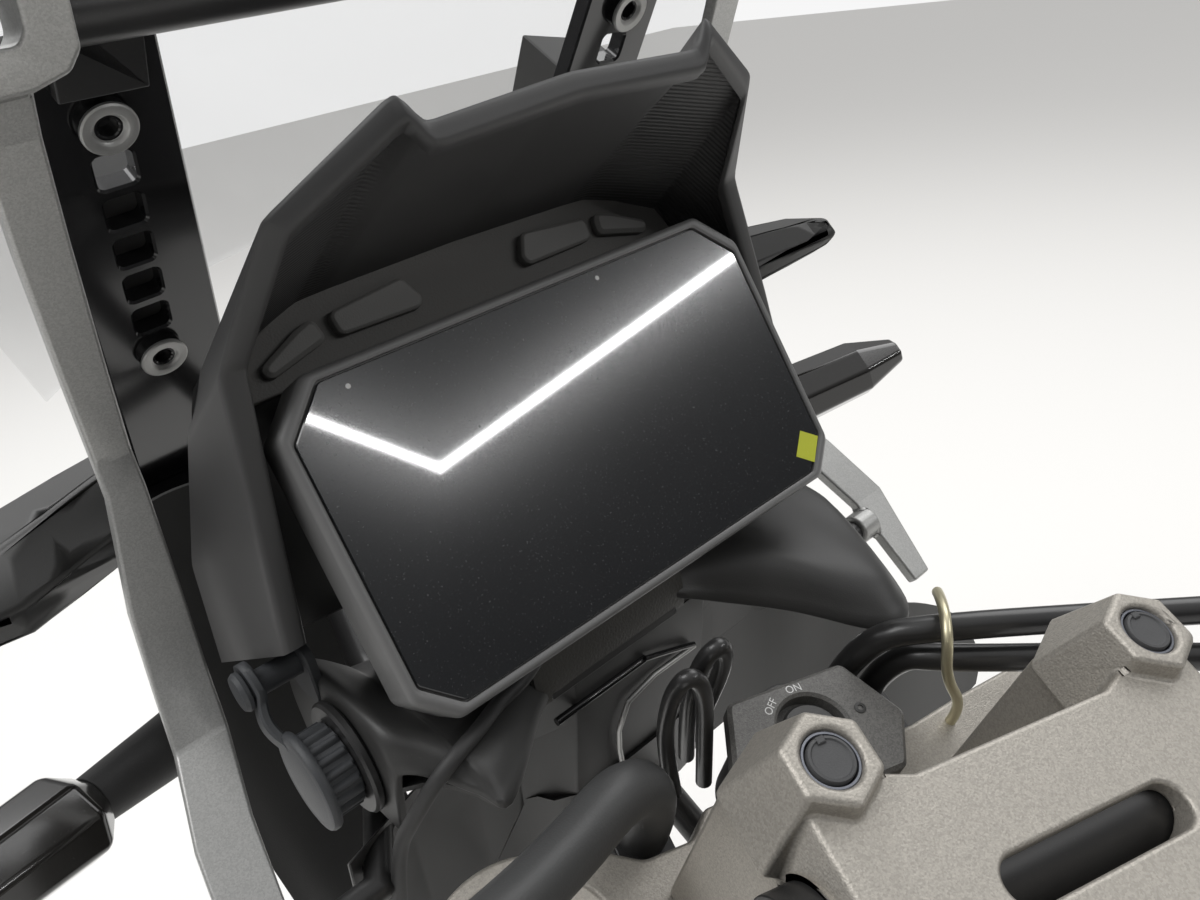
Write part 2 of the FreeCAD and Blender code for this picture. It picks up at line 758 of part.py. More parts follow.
def sideBar(side):
    """Strip bent down the side, with a frame at its top end and a boss for the outrigger."""
    sign = SIDES[side]
    line = [(y, z) for _, y, z, _ in SIDE_STATIONS]
    back = offsetLine(line, size["sideThick"])
    wires = []
    for (x, _, _, wide), front, rear in zip(SIDE_STATIONS, line, back):
        inner, outer = sign * beside(x), sign * (beside(x) + wide)
        ring = [Vector(inner, *front), Vector(outer, *front), Vector(outer, *rear), Vector(inner, *rear)]
        wires.append(Part.makePolygon(ring + ring[:1]))
    strip = Part.makeLoft(wires, True, True)
    near, deep = size["frameNear"], size["frameDeep"]
    lean = size["frameLean"]
    frame = prism([(sign * beside(x), near - lean * (z - 350), z) for x, z in SIDE_FRAME], (0, deep, 0))
    window = prism([(sign * beside(x), near - 9 - lean * (z - 350), z) for x, z in SIDE_WINDOW], (0, deep + 18, 0))
    x, y, z = BAR_SPOT
    boss = rod((sign * beside(x), y, z), (sign * beside(x + 10), y, z), 6.5)
    eyeY, eyeZ = near + deep / 2 - lean * 12, 362.0
    bore = rod((sign * beside(118), eyeY, eyeZ), (sign * beside(132), eyeY, eyeZ), size["eyeBore"])
    shapeNode(f"side_bar_{side}", strip.fuse([frame, boss]).cut([window, bore]).removeSplitter())


# Wings and turn signals

def deflectorWing(side):
    sign = SIDES[side]
    # x, then y and z of the section's corners
    table = [
        (101.0, [(222, 212), (240, 226), (284, 216), (290, 196), (262, 184), (232, 196)]),
        (150.0, [(186, 214), (200, 228), (246, 222), (252, 204), (228, 194), (196, 200)]),
        (205.0, [(160, 224), (166, 231), (190, 229), (194, 220), (184, 215), (166, 218)]),
    ]
    # drawn on rails whose upper boss is at 158 and 337: the wing keeps its place on them
    onRails = Vector(0, size["railForward"] - 158.0, size["railHigh"] - 337.0)
    wires = []
    for x, ring in table:
        points = [Vector(sign * x, *p) + onRails for p in ring]
        wires.append(Part.makePolygon(points + points[:1]))
    shapeNode(f"deflector_wing_{side}", Part.makeLoft(wires, True, True))


def turnSignal(side):
    sign = SIDES[side]
    root = signalRoot(sign)
    neck = root + signalWay(sign) * 52
    stalk = Part.makeCone(12, 8.5, (neck - root).Length, root, neck - root)
    shapeNode(f"signal_stalk_{side}", stalk)
    way = (neck - root).normalize()
    lamp = neck + way * size["seatGap"]
    spots = [(0, 11, 9), (8, 19, 15), (56, 17, 13), (78, 8, 6)]
    wires = []
    cross = way.cross(AXIS_Z).normalize()
    up = cross.cross(way)
    for along, half, tall in spots:
        centre = lamp + way * along
        ring = []
        for k in range(8):
            angle = math.radians(22.5 + 45 * k)
            ring.append(centre + cross * (half * math.cos(angle)) + up * (tall * math.sin(angle)))
        wires.append(Part.makePolygon(ring + ring[:1]))
    shapeNode(f"signal_lamp_{side}", Part.makeLoft(wires, True, True))


# Cowls under the display: x, the inward way, then y and z from the rider's lip over the crown
RIGHT_COWL = [
    (16.0, (0, 0, -1), [(94, 160), (103, 166), (126, 166), (150, 156)]),
    (30.0, (0, 0, -1), [(86, 153), (96, 165), (126, 167), (152, 157)]),
    (46.0, (0, 0, -1), [(68, 147), (84, 164), (126, 168), (154, 158)]),
    (60.0, (0, 0, -1), [(45, 141), (66, 158), (124, 167), (156, 158)]),
    (72.0, (0, 0, -1), [(41, 140), (60, 155), (122, 165), (158, 157)]),
    (84.0, (0, 0, -1), [(54, 142), (70, 154), (120, 163), (160, 155)]),
    (98.0, (0, 0, -1), [(88, 153), (98, 158), (120, 160), (162, 152)]),
    (106.0, (0, 0, -1), [(104, 146), (112, 150), (124, 153), (160, 148)]),
]
CENTRE_PANEL = [
    (-39.7, (0, 0, -1), [(94, 154), (104, 161), (126, 164), (150, 155)]),
    (15.7, (0, 0, -1), [(94, 154), (104, 161), (126, 164), (150, 155)]),
]
# Wall under the cowls, in front of the top clamp's sweep: its lower edge is deeper on the left
LOWER_WALL = [
    (-112.0, [(103, 137), (112, 104), (126, 66)]),
    (-84.0, [(112.5, 137), (123, 118), (130, 66)]),
    (-60.0, [(112.5, 137), (123, 118), (129, 66)]),
    (-44.0, [(103, 153), (117, 122), (122, 92)]),
    (-30.0, [(94.5, 153), (98, 134), (109, 92)]),
    (30.0, [(94.5, 153), (98, 134), (109, 92)]),
    (44.0, [(103, 150), (117, 122), (122, 92)]),
    (60.0, [(106, 150), (123, 118), (126, 96)]),
    (84.0, [(106, 148), (123, 118), (126, 96)]),
    (104.0, [(101, 140), (112, 112), (118, 96)]),
]
LEFT_CONSOLE = [
    (-40.0, (0, 0, -1), [(95, 155), (104, 161), (126, 164), (150, 155)]),
    (-50.0, (0, 0, -1), [(87, 157), (98, 163.5), (127, 165), (152, 156)]),
    (-76.0, (0, 0, -1), [(66, 158), (80, 168), (130, 167.5), (158, 157)]),
    (-82.0, (0, 0, -1), [(72, 162), (88, 172), (134, 172), (158, 160)]),
    (-88.0, (0, 0, -1), [(82, 166), (94, 176), (140, 176), (157, 165)]),
    (-94.0, (0, 0, -1), [(88, 168), (98, 179), (142, 179), (156, 168)]),
    (-96.0, (1, 0, -1), [(90, 166), (99, 177), (141, 177), (155, 166)]),
    (-96.7, (1, 0, 0), [(97.5, 140), (105, 140), (138, 140), (152, 140)]),
]


def cowl(table):
    return skin([([(beside(x), *p) for p in line], inward) for x, inward, line in table], size["cowlWall"])


def cowls():
    slots = {side: bracketLug(sign, size["seatGap"]) for side, sign in SIDES.items()}
    shapeNode("cowl_right", cowl(RIGHT_COWL).cut(slots["right"]))
    wall = skin([([(beside(x), *p) for p in line], (0, 0.8, -0.6)) for x, line in LOWER_WALL], size["cowlWall"])
    for sign in SIDES.values():
        for tube in tubeRun(outriggerRun(sign), size["outrigRadius"] + size["seatGap"]):
            wall = wall.cut(tube)
    shapeNode("centre_panel", cowl(CENTRE_PANEL).fuse(wall).removeSplitter())
    console = cowl(LEFT_CONSOLE).cut(slots["left"])
    hole = Part.makeCylinder(size["socketRadius"] + size["seatGap"], 40, Vector(0, 0, -20))
    # ear with the stud that holds the cap's strap
    across, up = size["capStudAcross"], size["capStudUp"]
    ear = box((across - 14, up - 8, -3), (across + 6, up + 8, 0))
    stud = rod((across, up, -1), (across, up, 17), 4.0).fuse(rod((across, up, 16), (across, up, 19), 6.0))
    ear = ear.fuse(stud)
    for shape in (hole, ear):
        shape.Placement = SOCKET
    shapeNode("socket_console", console.fuse(ear).cut(hole).removeSplitter())


# Socket frame: z out of the socket, to the left; x up, y forward
SOCKET = Placement(Vector(beside(-97), 115.6, 159.8), Rotation(AXIS_Z, Vector(-1, 0, 0)))


def powerSocket():
    long = size["socketLong"]
    tube = Part.makeCylinder(size["socketRadius"], long, Vector(0, 0, -long))
    flange = Part.makeCylinder(size["socketFlange"], 3)
    hollow = Part.makeCylinder(size["socketRadius"] - 2, long, Vector(0, 0, -long + 3))
    shapeNode("power_socket", tube.fuse(flange).cut(hollow).removeSplitter(), SOCKET)


def socketCap():
    """Rubber cap on the socket: a ribbed skirt, a disc, and the strap to its stud."""
    radius, skirt = size["capRadius"], size["capSkirt"]
    low = 3 + size["seatGap"]
    cap = Part.makeCylinder(radius, skirt, Vector(0, 0, low))
    ribs = int(size["capRibs"])
    for k in range(ribs):
        angle = 360.0 / ribs * k
        notch = Part.makeCylinder(1.3, skirt - 5, Vector(radius + 0.3, 0, low))
        cap = cap.cut(notch.rotated(Vector(), AXIS_Z, angle))
    face, thick = low + skirt - 2, size["capFlange"]
    disc = Part.makeCylinder(radius + 1.8, thick, Vector(0, 0, face))
    stud = Vector(size["capStudAcross"], size["capStudUp"], 0)
    way = Vector(stud).normalize()
    edge = way.cross(AXIS_Z) * (size["capStrapWide"] / 2)
    base = Vector(0, 0, face)
    strap = prism([edge + base, stud + edge + base, stud - edge + base, base - edge], (0, 0, thick))
    eye = Part.makeCylinder(7.5, thick, stud + base).cut(Part.makeCylinder(4.3, 3 * thick, stud + base * 0.8))
    strap = strap.cut(Part.makeCylinder(7, 3 * thick, stud + base * 0.8))
    shapeNode("socket_cap", cap.fuse([disc, strap, eye]).removeSplitter(), SOCKET)


# Steering group, in the steer frame

def topClamp():
    top, thick = size["clampTop"], size["clampThick"]
    low = top - thick
    spread, ahead = size["forkSpread"], size["forkForward"]
    ring = [(-spread, ahead + 30), (-73, 46), (-64, 40), (-48, 40), (-40, 47), (40, 47), (62, 50), (spread, ahead + 30),
            (spread + 8, ahead - 26), (70, -16), (34, -30), (-34, -30), (-70, -16), (-spread - 8, ahead - 26)]
    yoke = prism([(x, y, low) for x, y in ring], (0, 0, thick))
    for sign in SIDES.values():
        yoke = yoke.fuse(rod((sign * spread, ahead, low), (sign * spread, ahead, top), size["forkBoss"]))
    for sign in SIDES.values():
        yoke = yoke.cut(rod((sign * spread, ahead, low - 1), (sign * spread, ahead, top + 3), size["forkBore"]))
        split = box((sign * spread - 1.5, ahead - size["forkBoss"] - 12, low - 1),
                    (sign * spread + 1.5, ahead, top + 3))
        yoke = yoke.cut(split)
    yoke = yoke.cut(rod((0, 0, low - 1), (0, 0, top + 3), size["stemRadius"] + 0.05))
    lockHole = rod((0, size["lockForward"], low - 1), (0, size["lockForward"], top + 3), size["lockBodyRadius"] + 0.3)
    shapeNode("top_clamp", yoke.cut(lockHole).removeSplitter(), STEER)


def steeringStem():
    top = size["clampTop"] + 4
    stem = rod((0, 0, size["headLow"] - 22), (0, 0, top), size["stemRadius"])
    race = size["headBore"] - 0.05
    stem = stem.fuse(rod((0, 0, size["headLow"] + 2), (0, 0, size["headLow"] + 16), race))
    stem = stem.fuse(rod((0, 0, size["headTop"] - 16), (0, 0, size["headTop"] - 2), race))
    collar = rod((0, 0, size["headTop"] + 0.5), (0, 0, size["clampTop"] - size["clampThick"]), size["stemRadius"] + 8)
    shapeNode("steering_stem", stem.fuse(collar).removeSplitter(), STEER)


def stemNut():
    ring = []
    for k in range(6):
        angle = math.radians(60 * k)
        ring.append((size["stemNutRadius"] * math.cos(angle), size["stemNutRadius"] * math.sin(angle), size["clampTop"]))
    nut = prism(ring, (0, 0, size["stemNutTall"]))
    nut = nut.cut(rod((0, 0, size["clampTop"] - 1), (0, 0, size["clampTop"] + 20), size["stemRadius"] + 0.05))
    shapeNode("stem_nut", nut, STEER)


def barRun():
    """Centre line of the handlebar's right half, from its middle to its end."""
    y, z = size["barForward"], size["barHigh"]
    return [(0, y, z), (92, y, z), (178, y - 14, z + 62), (430, y - 112, z + 66)]


def handlebar():
    right = barRun()
    points = [flip(p) for p in reversed(right[1:])] + right[1:]
    edges = roundedRuns(points, [55.0, 60.0, 60.0, 55.0])
    path = Part.Wire(edges)
    start, after = Vector(*points[0]), Vector(*points[1])
    ring = Part.Wire(Part.makeCircle(size["gripBarRadius"], start, after - start))
    bar = path.makePipeShell([ring], True, False)
    y, z = size["barForward"], size["barHigh"]
    fat = rod((-70, y, z), (70, y, z), size["clampBarRadius"] - 0.05)
    shapeNode("handlebar", bar.fuse(fat).removeSplitter(), STEER)


def riserBlock():
    """Casting between the top clamp and the bar: two pillars under the bolts."""
    y, z = size["barForward"], size["barHigh"]
    base = size["clampTop"]
    reach = size["boltPitch"] + 13
    block = None
    for sign in SIDES.values():
        x = sign * size["boltSpread"]
        pillar = prism([(x - 13, y - reach, z - size["clampSplit"]), (x + 13, y - reach, z - size["clampSplit"]),
                        (x + 13, y + reach, z - size["clampSplit"]), (x - 13, y + reach, z - size["clampSplit"])],
                       (0, 0, -(z - size["clampSplit"] - base)))
        block = pillar if block is None else block.fuse(pillar)
    bridge = box((-36, y - 22, base), (36, y + 14, z - 18))
    nutRoom = rod((0, 0, base - 1), (0, 0, base + size["stemNutTall"] + 6), size["stemNutRadius"] + 5)
    block = block.fuse(bridge).cut(nutRoom)
    barRoom = rod((-80, y, z), (80, y, z), size["clampBarRadius"])
    shapeNode("riser_block", block.cut(barRoom).removeSplitter(), STEER)


def sixSided(centre, low, lowRadius, top, topRadius):
    """A six-sided boss, wider at its foot, with one corner towards the front."""
    wires = []
    for height, radius in ((low, lowRadius), (top, topRadius)):
        ring = []
        for k in range(6):
            angle = math.radians(90 + 60 * k)
            ring.append(Vector(centre[0] + radius * math.cos(angle), centre[1] + radius * math.sin(angle), height))
        wires.append(Part.makePolygon(ring + ring[:1]))
    return Part.makeLoft(wires, True, True)


def barClamp():
    """Upper clamp: one casting over the bar with four bolt bosses and a long slot."""
    y, z = size["barForward"], size["barHigh"]
    half = size["clampHalfWide"]
    pitch = size["boltPitch"]
    low = z + size["clampSplit"]
    roof = size["clampRoof"]
    plate = prism([(-half, y - pitch - 12, low), (half, y - pitch - 12, low), (half, y + pitch + 4, low),
                   (30, y + 20, low), (-30, y + 20, low), (-half, y + pitch + 4, low)], (0, 0, roof - low))
    for sx in SIDES.values():
        for sy in (-1, 1):
            centre = (sx * size["boltSpread"], y + sy * pitch)
            plate = plate.fuse(sixSided(centre, low, 20.5, size["boltTop"], 16.0))
    for sx in SIDES.values():
        for sy in (-1, 1):
            centre = (sx * size["boltSpread"], y + sy * pitch)
            recess = rod((*centre, size["boltTop"] - 7), (*centre, size["boltTop"] + 1), size["boltRecess"])
            plate = plate.cut(recess)
    middle = y - size["slotBack"]
    reach, round = size["slotHalfLong"] - size["slotHalfWide"], size["slotHalfWide"]
    slot = box((-reach, middle - round, low - 1), (reach, middle + round, roof + 20))
    for sx in SIDES.values():
        slot = slot.fuse(rod((sx * reach, middle, low - 1), (sx * reach, middle, roof + 20), round))
    barRoom = rod((-80, y, z), (80, y, z), size["clampBarRadius"])
    shapeNode("bar_clamp", plate.cut(slot).cut(barRoom).removeSplitter(), STEER)


def clampBolts():
    """Four capped screw heads in their recesses, on shanks that cross the split."""
    y = size["barForward"]
    pieces = []
    for sx in SIDES.values():
        for sy in (-1, 1):
            centre = (sx * size["boltSpread"], y + sy * size["boltPitch"])
            pieces.append(rod((*centre, size["boltTop"] - 7), (*centre, size["boltTop"] - 0.5), size["boltRadius"]))
    shapeNode("clamp_bolts", Part.makeCompound(pieces), STEER)


def lockPlateRing():
    ahead = size["lockForward"]
    half = [(22.0, ahead + 13), (32.0, ahead - 9), (21.0, ahead - 25)]
    return half + [(-x, y) for x, y in reversed(half)]


def ignitionLock():
    ahead, face = size["lockForward"], size["lockFace"]
    thick = size["lockPlateThick"]
    plate = prism([(x, y, face - thick) for x, y in lockPlateRing()], (0, 0, thick))
    hole = ahead - size["keyBack"]
    plate = plate.cut(rod((0, hole, face - size["keyDeep"]), (0, hole, face + 1), size["keyRadius"]))
    shapeNode("lock_plate", plate, STEER)
    core = rod((0, ahead, face - thick - size["lockBodyLong"]), (0, ahead, face - thick), size["lockBodyRadius"])
    shapeNode("lock_body", core, STEER)
    key = rod((0, hole, face - size["keyDeep"]), (0, hole, face - 1.5), size["keyRadius"] - 2)
    way = box((-1.6, hole - 5, face - 4), (1.6, hole + 5, face))
    shapeNode("key_cylinder", key.cut(way), STEER)


def gripFrame():
    """End of the right grip bar, the way out along it and the way forward from it."""
    right = barRun()
    end, before = Vector(*right[-1]), Vector(*right[-2])
    way = (end - before).normalize()
    return end, way, AXIS_Z.cross(way).normalize()


def controlSpot(inboard, ahead):
    end, way, out = gripFrame()
    return end - way * inboard + out * ahead


def grips():
    end, way, _ = gripFrame()
    for side, sign in SIDES.items():
        start = end - way * size["gripLong"]
        grip = Part.makeCylinder(size["gripRadius"], size["gripLong"], start, way)
        grip = grip.cut(Part.makeCylinder(size["gripBarRadius"] + 0.05, size["gripLong"], start, way))
        weight = Part.makeCone(size["barEndRadius"], size["barEndRadius"] - 4, size["barEndLong"], end, way)
        for name, shape in (("grip", grip), ("bar_end", weight)):
            shapeNode(f"{name}_{side}", shape if sign > 0 else mirrored(shape), STEER)


def controls():
    """Switch cases, lever perches and levers inboard of the grips."""
    end, way, out = gripFrame()
    grip = size["gripLong"]
    barRoom = Part.makeCylinder(size["gripBarRadius"] + 0.05, grip + 118, end - way * (grip + 108), way)
    inner = grip + size["seatGap"]
    case = Part.makeCylinder(20, 28, controlSpot(inner + 28, 0), way)
    spigot = (Vector(0, 0, -0.66) - way * 0.75).normalize()
    throttle = controlSpot(grip + 14, 0) + Vector(0, 0, -16)
    perch = Part.makeCylinder(15.5, 16, controlSpot(grip + 54, 0), way)
    perch = perch.fuse(Part.makeCylinder(10, 57, controlSpot(grip + 83, 30), way))
    bridge = prism([controlSpot(grip + 54, 8), controlSpot(grip + 38, 8), controlSpot(grip + 38, 28),
                    controlSpot(grip + 54, 28)], (0, 0, 8)).translated(Vector(0, 0, -4))
    perch = perch.fuse(bridge)
    reservoir = Part.makeCylinder(16, 24, controlSpot(grip + 54, 34) + Vector(0, 0, 6))
    blade = [(grip + 25.7, 24), (grip + 25.7, 40), (grip + 16, 47), (24, 58), (10, 56), (24, 47), (grip + 4, 37)]
    lever = prism([controlSpot(*spot) - Vector(0, 0, 4.5) for spot in blade], (0, 0, 9))
    for side, sign in SIDES.items():
        switch, mount = case, perch
        if side == "right":
            switch = case.fuse(Part.makeCylinder(7, 20, throttle, spigot))
            mount = perch.fuse(reservoir)
        for name, shape in (("switch", switch), ("lever_perch", mount), ("lever", lever)):
            shape = shape.cut(barRoom).removeSplitter()
            shapeNode(f"{name}_{side}", shape if sign > 0 else mirrored(shape), STEER)


# Guide wire and hoses, steer frame
GUIDE_RUN = [(53, 43, -140), (53, 43, -130), (40, 47, -112), (38, 52, -98), (44, 63, -96), (52, 71, -104)]
BLOCK_TOP = -152.0
HOSE_BLOCK = [(24, 47.3), (40, 47.3), (47, 48.5), (47, 66), (37, 77), (22.8, 77), (22.8, 52)]
SLEEVE_BLOCK = [(-63, 40.3), (-49, 40.3), (-49, 57), (-54, 61), (-61, 61), (-67, 55), (-67, 47)]


def hoseBlock():
    """Joint blocks on the top clamp's front edge, where hoses and sleeve end."""
    blocks = [prism([(x, y, BLOCK_TOP - 14) for x, y in ring], (0, 0, 14)) for ring in (HOSE_BLOCK, SLEEVE_BLOCK)]
    shapeNode("hose_blocks", Part.makeCompound(blocks), STEER)


def hoseRuns():
    """Middle lines of the hoses and the sleeve, each ending square on its fittings."""
    _, way, out = gripFrame()
    master = controlSpot(size["gripLong"] + 83, 30)
    throttle = controlSpot(size["gripLong"] + 14, 0) + Vector(0, 0, -16)
    spigot = (Vector(0, 0, -0.66) - way * 0.75).normalize()
    return {
        "brake_hose": [master, master - way * 26, (194, 2, -40), (152, 14, -80), (104, 38, -96),
                       (46, 61, -107), (28, 72, -120), (28, 72, BLOCK_TOP)],
        "throttle_hose": [throttle + spigot * 20, throttle + spigot * 50, (206, -28, -72), (152, 0, -92),
                          (104, 28, -105), (50, 54, -117), (39.5, 66.5, -127), (39.5, 66.5, BLOCK_TOP)],
        "clutch_sleeve": [flip(master), flip(master - way * 26), (-190, 4, -44), (-140, 16, -88),
                          (-96, 36, -105), (-71, 50, -108), (-57, 51, -127), (-57, 51, BLOCK_TOP)],
    }


def guideWire():
    shape = bentRod(GUIDE_RUN, size["guideRadius"], 4.0)
    shapeNode("cable_guide", shape, STEER)


def hoses():
    runs = hoseRuns()
    cord("brake_hose", runs["brake_hose"], size["hoseRadius"], STEER)
    cord("throttle_hose", runs["throttle_hose"], size["hoseRadius"], STEER)
    cord("clutch_sleeve", runs["clutch_sleeve"], size["sleeveRadius"], STEER)


displayGlass()
displayBezel()
displayHousing()
displayHood()
hoodPanel()
panelPads()
displayBracket()
cockpitStay()
steeringHead()
for side in SIDES:
    ladderRail(side)
    railClamp(side)
    sideBar(side)
    deflectorWing(side)
    turnSignal(side)
accessoryBar()
windscreen()
screenSlides()
cowls()
powerSocket()
socketCap()
topClamp()
steeringStem()
stemNut()
handlebar()
riserBlock()
barClamp()
clampBolts()
ignitionLock()
grips()
controls()
hoseBlock()
guideWire()
hoses()
doc.recompute()

faults = [o.Name for o in doc.Objects if "Invalid" in o.State or "Error" in o.State]
for item in subparts:
    if item.Shape.isNull() or not item.Shape.isValid():
        faults.append(item.Label)
if faults:
    raise RuntimeError("these objects failed: " + ", ".join(faults))

os.makedirs("parts", exist_ok=True)
for item in subparts:
    item.Shape.exportStep(os.path.join("parts", item.Label + ".step"))
print(len(subparts), "sub-parts written")
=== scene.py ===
import math

import bpy
import bmesh
import numpy as np
from mathutils import Matrix, Vector


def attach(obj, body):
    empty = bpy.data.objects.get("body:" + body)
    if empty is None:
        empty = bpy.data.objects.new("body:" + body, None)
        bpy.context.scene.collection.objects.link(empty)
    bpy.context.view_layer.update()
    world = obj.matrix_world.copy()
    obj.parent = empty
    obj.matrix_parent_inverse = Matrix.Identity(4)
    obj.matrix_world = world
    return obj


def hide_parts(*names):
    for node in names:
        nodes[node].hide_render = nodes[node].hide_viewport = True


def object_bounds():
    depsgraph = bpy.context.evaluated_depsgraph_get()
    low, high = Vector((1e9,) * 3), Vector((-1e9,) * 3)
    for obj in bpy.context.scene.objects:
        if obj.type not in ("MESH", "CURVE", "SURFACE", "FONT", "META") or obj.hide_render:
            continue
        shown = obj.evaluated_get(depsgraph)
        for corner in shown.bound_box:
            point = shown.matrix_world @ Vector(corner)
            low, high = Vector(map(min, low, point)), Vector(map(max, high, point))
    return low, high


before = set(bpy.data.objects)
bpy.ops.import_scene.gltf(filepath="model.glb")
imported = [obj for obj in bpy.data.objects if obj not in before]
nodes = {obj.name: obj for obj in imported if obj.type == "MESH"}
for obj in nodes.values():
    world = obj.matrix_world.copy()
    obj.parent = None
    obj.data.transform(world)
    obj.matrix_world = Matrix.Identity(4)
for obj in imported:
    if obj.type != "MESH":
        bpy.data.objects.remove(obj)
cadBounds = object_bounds()
scene = bpy.context.scene
scene.view_settings.view_transform = "Standard"
mm = 0.001
signs = {"left": -1, "right": 1}
print("frame loaded")


# Camera at the photograph's angle

camera = {
    "place": (-0.1674, -0.1198, 0.3532),
    "right": (0.735, -0.659, -0.161),
    "up": (0.402, 0.232, 0.886),
    "lens": 30.0,
}


def addCamera(values):
    data = bpy.data.cameras.new("camera")
    data.lens = values["lens"]
    data.sensor_width = 36.0
    data.clip_start = 0.01
    item = bpy.data.objects.new("camera", data)
    right = Vector(values["right"]).normalized()
    up = Vector(values["up"])
    up = (up - right * up.dot(right)).normalized()
    turn = Matrix((right, up, right.cross(up))).transposed().to_4x4()
    item.matrix_world = Matrix.Translation(values["place"]) @ turn
    scene.collection.objects.link(item)
    scene.camera = item


addCamera(camera)


# Frames that the pieces are drawn in, as the part's source has them: millimetres in, metres out

def drawnIn(place, *turns):
    matrix = Matrix.Translation(Vector(place))
    for degrees, axis in turns:
        matrix = matrix @ Matrix.Rotation(math.radians(degrees), 4, axis)
    return np.array(matrix)


rowFrame = np.eye(4)
displayFrame = drawnIn((0, 100, 225), (63.7, "X"))     # x across the glass, y up it, z to the rider
steerFrame = drawnIn((0, -64, 225), (26, "X"), (-17.1, "Z"))  # z up the steering axis
socketFrame = drawnIn((-97, 115.6, 159.8), (-90, "Y"))  # z out to the left, x up


def railFrame(sign):
    # y up the rail, z to the rider
    return drawnIn((sign * 89.5, 158, 337), (124, "X"), (-sign * 3.6, "Z"))


def intoRow(points, matrix):
    points = np.asarray(points, float).reshape(-1, 3)
    return (points @ matrix[:3, :3].T + matrix[:3, 3]) * mm


def unit(vectors):
    vectors = np.asarray(vectors, float)
    return vectors / np.maximum(np.linalg.norm(vectors, axis=-1, keepdims=True), 1e-12)


# Surfaces: each part is points and faces, in the frame that the piece is drawn in

def around(count):
    # angles in equal steps round a full turn
    return np.arange(count) * 2 * math.pi / count


def circle(count):
    # unit vectors round a full turn
    angles = around(count)
    return np.column_stack([np.cos(angles), np.sin(angles)])


def lifted(ring, height):
    # a flat outline at a height
    return np.column_stack([ring, np.full(len(ring), height)])


def moved(part, *offset):
    return part[0] + offset, part[1]


def loft(rows, ring=False):
    # quads between neighbours of closed rows; a ring's last row joins its first, else both ends are capped
    points = np.asarray(rows, float)
    count, columns = points.shape[:2]
    index = np.arange(count * columns).reshape(count, columns)
    a = index if ring else index[:-1]
    b = np.roll(index, -1, axis=0) if ring else index[1:]
    faces = np.stack([a, np.roll(a, -1, axis=1), np.roll(b, -1, axis=1), b], axis=-1).reshape(-1, 4).tolist()
    if not ring:
        faces += [index[0, ::-1].tolist(), index[-1].tolist()]
    return points.reshape(-1, 3), faces


def stack(levels, ring=False):
    # outlines joined at their heights
    return loft([lifted(outline, height) for outline, height in levels], ring)


def prism(outline, low, high, inset=0.0):
    # an outline carried from one height to another, its top drawn in by a chamfer
    ring = np.asarray(outline, float)
    return stack([(ring, low), (ring, high - inset)] + ([(shrunk(ring, inset), high)] if inset else []))


def shrunk(ring, distance):
    # each corner moved in along both its edges' normals, so that every side moves by the distance
    before = unit(ring - np.roll(ring, 1, axis=0))
    after = unit(np.roll(ring, -1, axis=0) - ring)
    area = np.sum(ring[:, 0] * np.roll(ring[:, 1], -1) - np.roll(ring[:, 0], -1) * ring[:, 1])
    turn = 1 if area > 0 else -1
    normal1 = np.column_stack([-before[:, 1], before[:, 0]]) * turn
    normal2 = np.column_stack([-after[:, 1], after[:, 0]]) * turn
    half = unit(normal1 + normal2)
    return ring + half * (distance / np.maximum(np.sum(half * normal1, axis=1), 0.3))[:, None]


def roundCorners(ring, radius, steps=4):
    # every corner of the outline becomes an arc that is tangent to both its edges, and takes less than half of each
    ring = np.asarray(ring, float)
    out = []
    for k, here in enumerate(ring):
        edges = ring[k - 1] - here, ring[(k + 1) % len(ring)] - here
        back, ahead = (unit(edge) for edge in edges)
        half = math.acos(np.clip(back @ ahead, -1, 1)) / 2
        trim = min(radius / math.tan(half), 0.45 * min(np.linalg.norm(edge) for edge in edges))
        bend = trim * math.tan(half)
        centre = here + unit(back + ahead) * (bend / math.sin(half))
        first, last = here + back * trim - centre, here + ahead * trim - centre
        sweep = math.atan2(first[0] * last[1] - first[1] * last[0], first @ last)
        angles = np.linspace(0, sweep, steps + 1)
        cos, sin = np.cos(angles), np.sin(angles)
        out.append(centre + np.column_stack([first[0] * cos - first[1] * sin, first[0] * sin + first[1] * cos]))
    return np.vstack(out)


def rayed(ring, centre, angles):
    # the point where each ray from the centre meets the outline
    ring = np.asarray(ring, float) - centre
    nextRing = np.roll(ring, -1, axis=0)
    way = np.column_stack([np.cos(angles), np.sin(angles)])
    edge = nextRing - ring
    cross = way[:, None, 0] * edge[None, :, 1] - way[:, None, 1] * edge[None, :, 0]
    cross = np.where(np.abs(cross) < 1e-9, 1e-9, cross)
    reach = (ring[None, :, 0] * edge[None, :, 1] - ring[None, :, 1] * edge[None, :, 0]) / cross
    share = (ring[None, :, 0] * way[:, None, 1] - ring[None, :, 1] * way[:, None, 0]) / cross
    good = (share >= -1e-6) & (share <= 1 + 1e-6) & (reach > 0)
    reach = np.where(good, reach, np.inf).min(axis=1)
    return centre + way * reach[:, None]


def lathe(profile, sides, centre=(0, 0), ring=False):
    # a profile of radius and height turned about z; a closed profile makes a ring
    return stack([(circle(sides) * radius + centre, height) for radius, height in profile], ring)


def tube(path, radius, sides):
    # a round section carried along a path, turned as little as the path allows
    path = np.asarray(path, float)
    ways = unit(np.gradient(path, axis=0))
    side = unit(np.cross(ways[0], [0.31, 0.22, 0.92]))
    ring = circle(sides) * radius
    rows = []
    for spot, way in zip(path, ways):
        side = unit(side - way * (side @ way))
        rows.append(spot + ring[:, :1] * side + ring[:, 1:] * np.cross(way, side))
    return loft(rows)


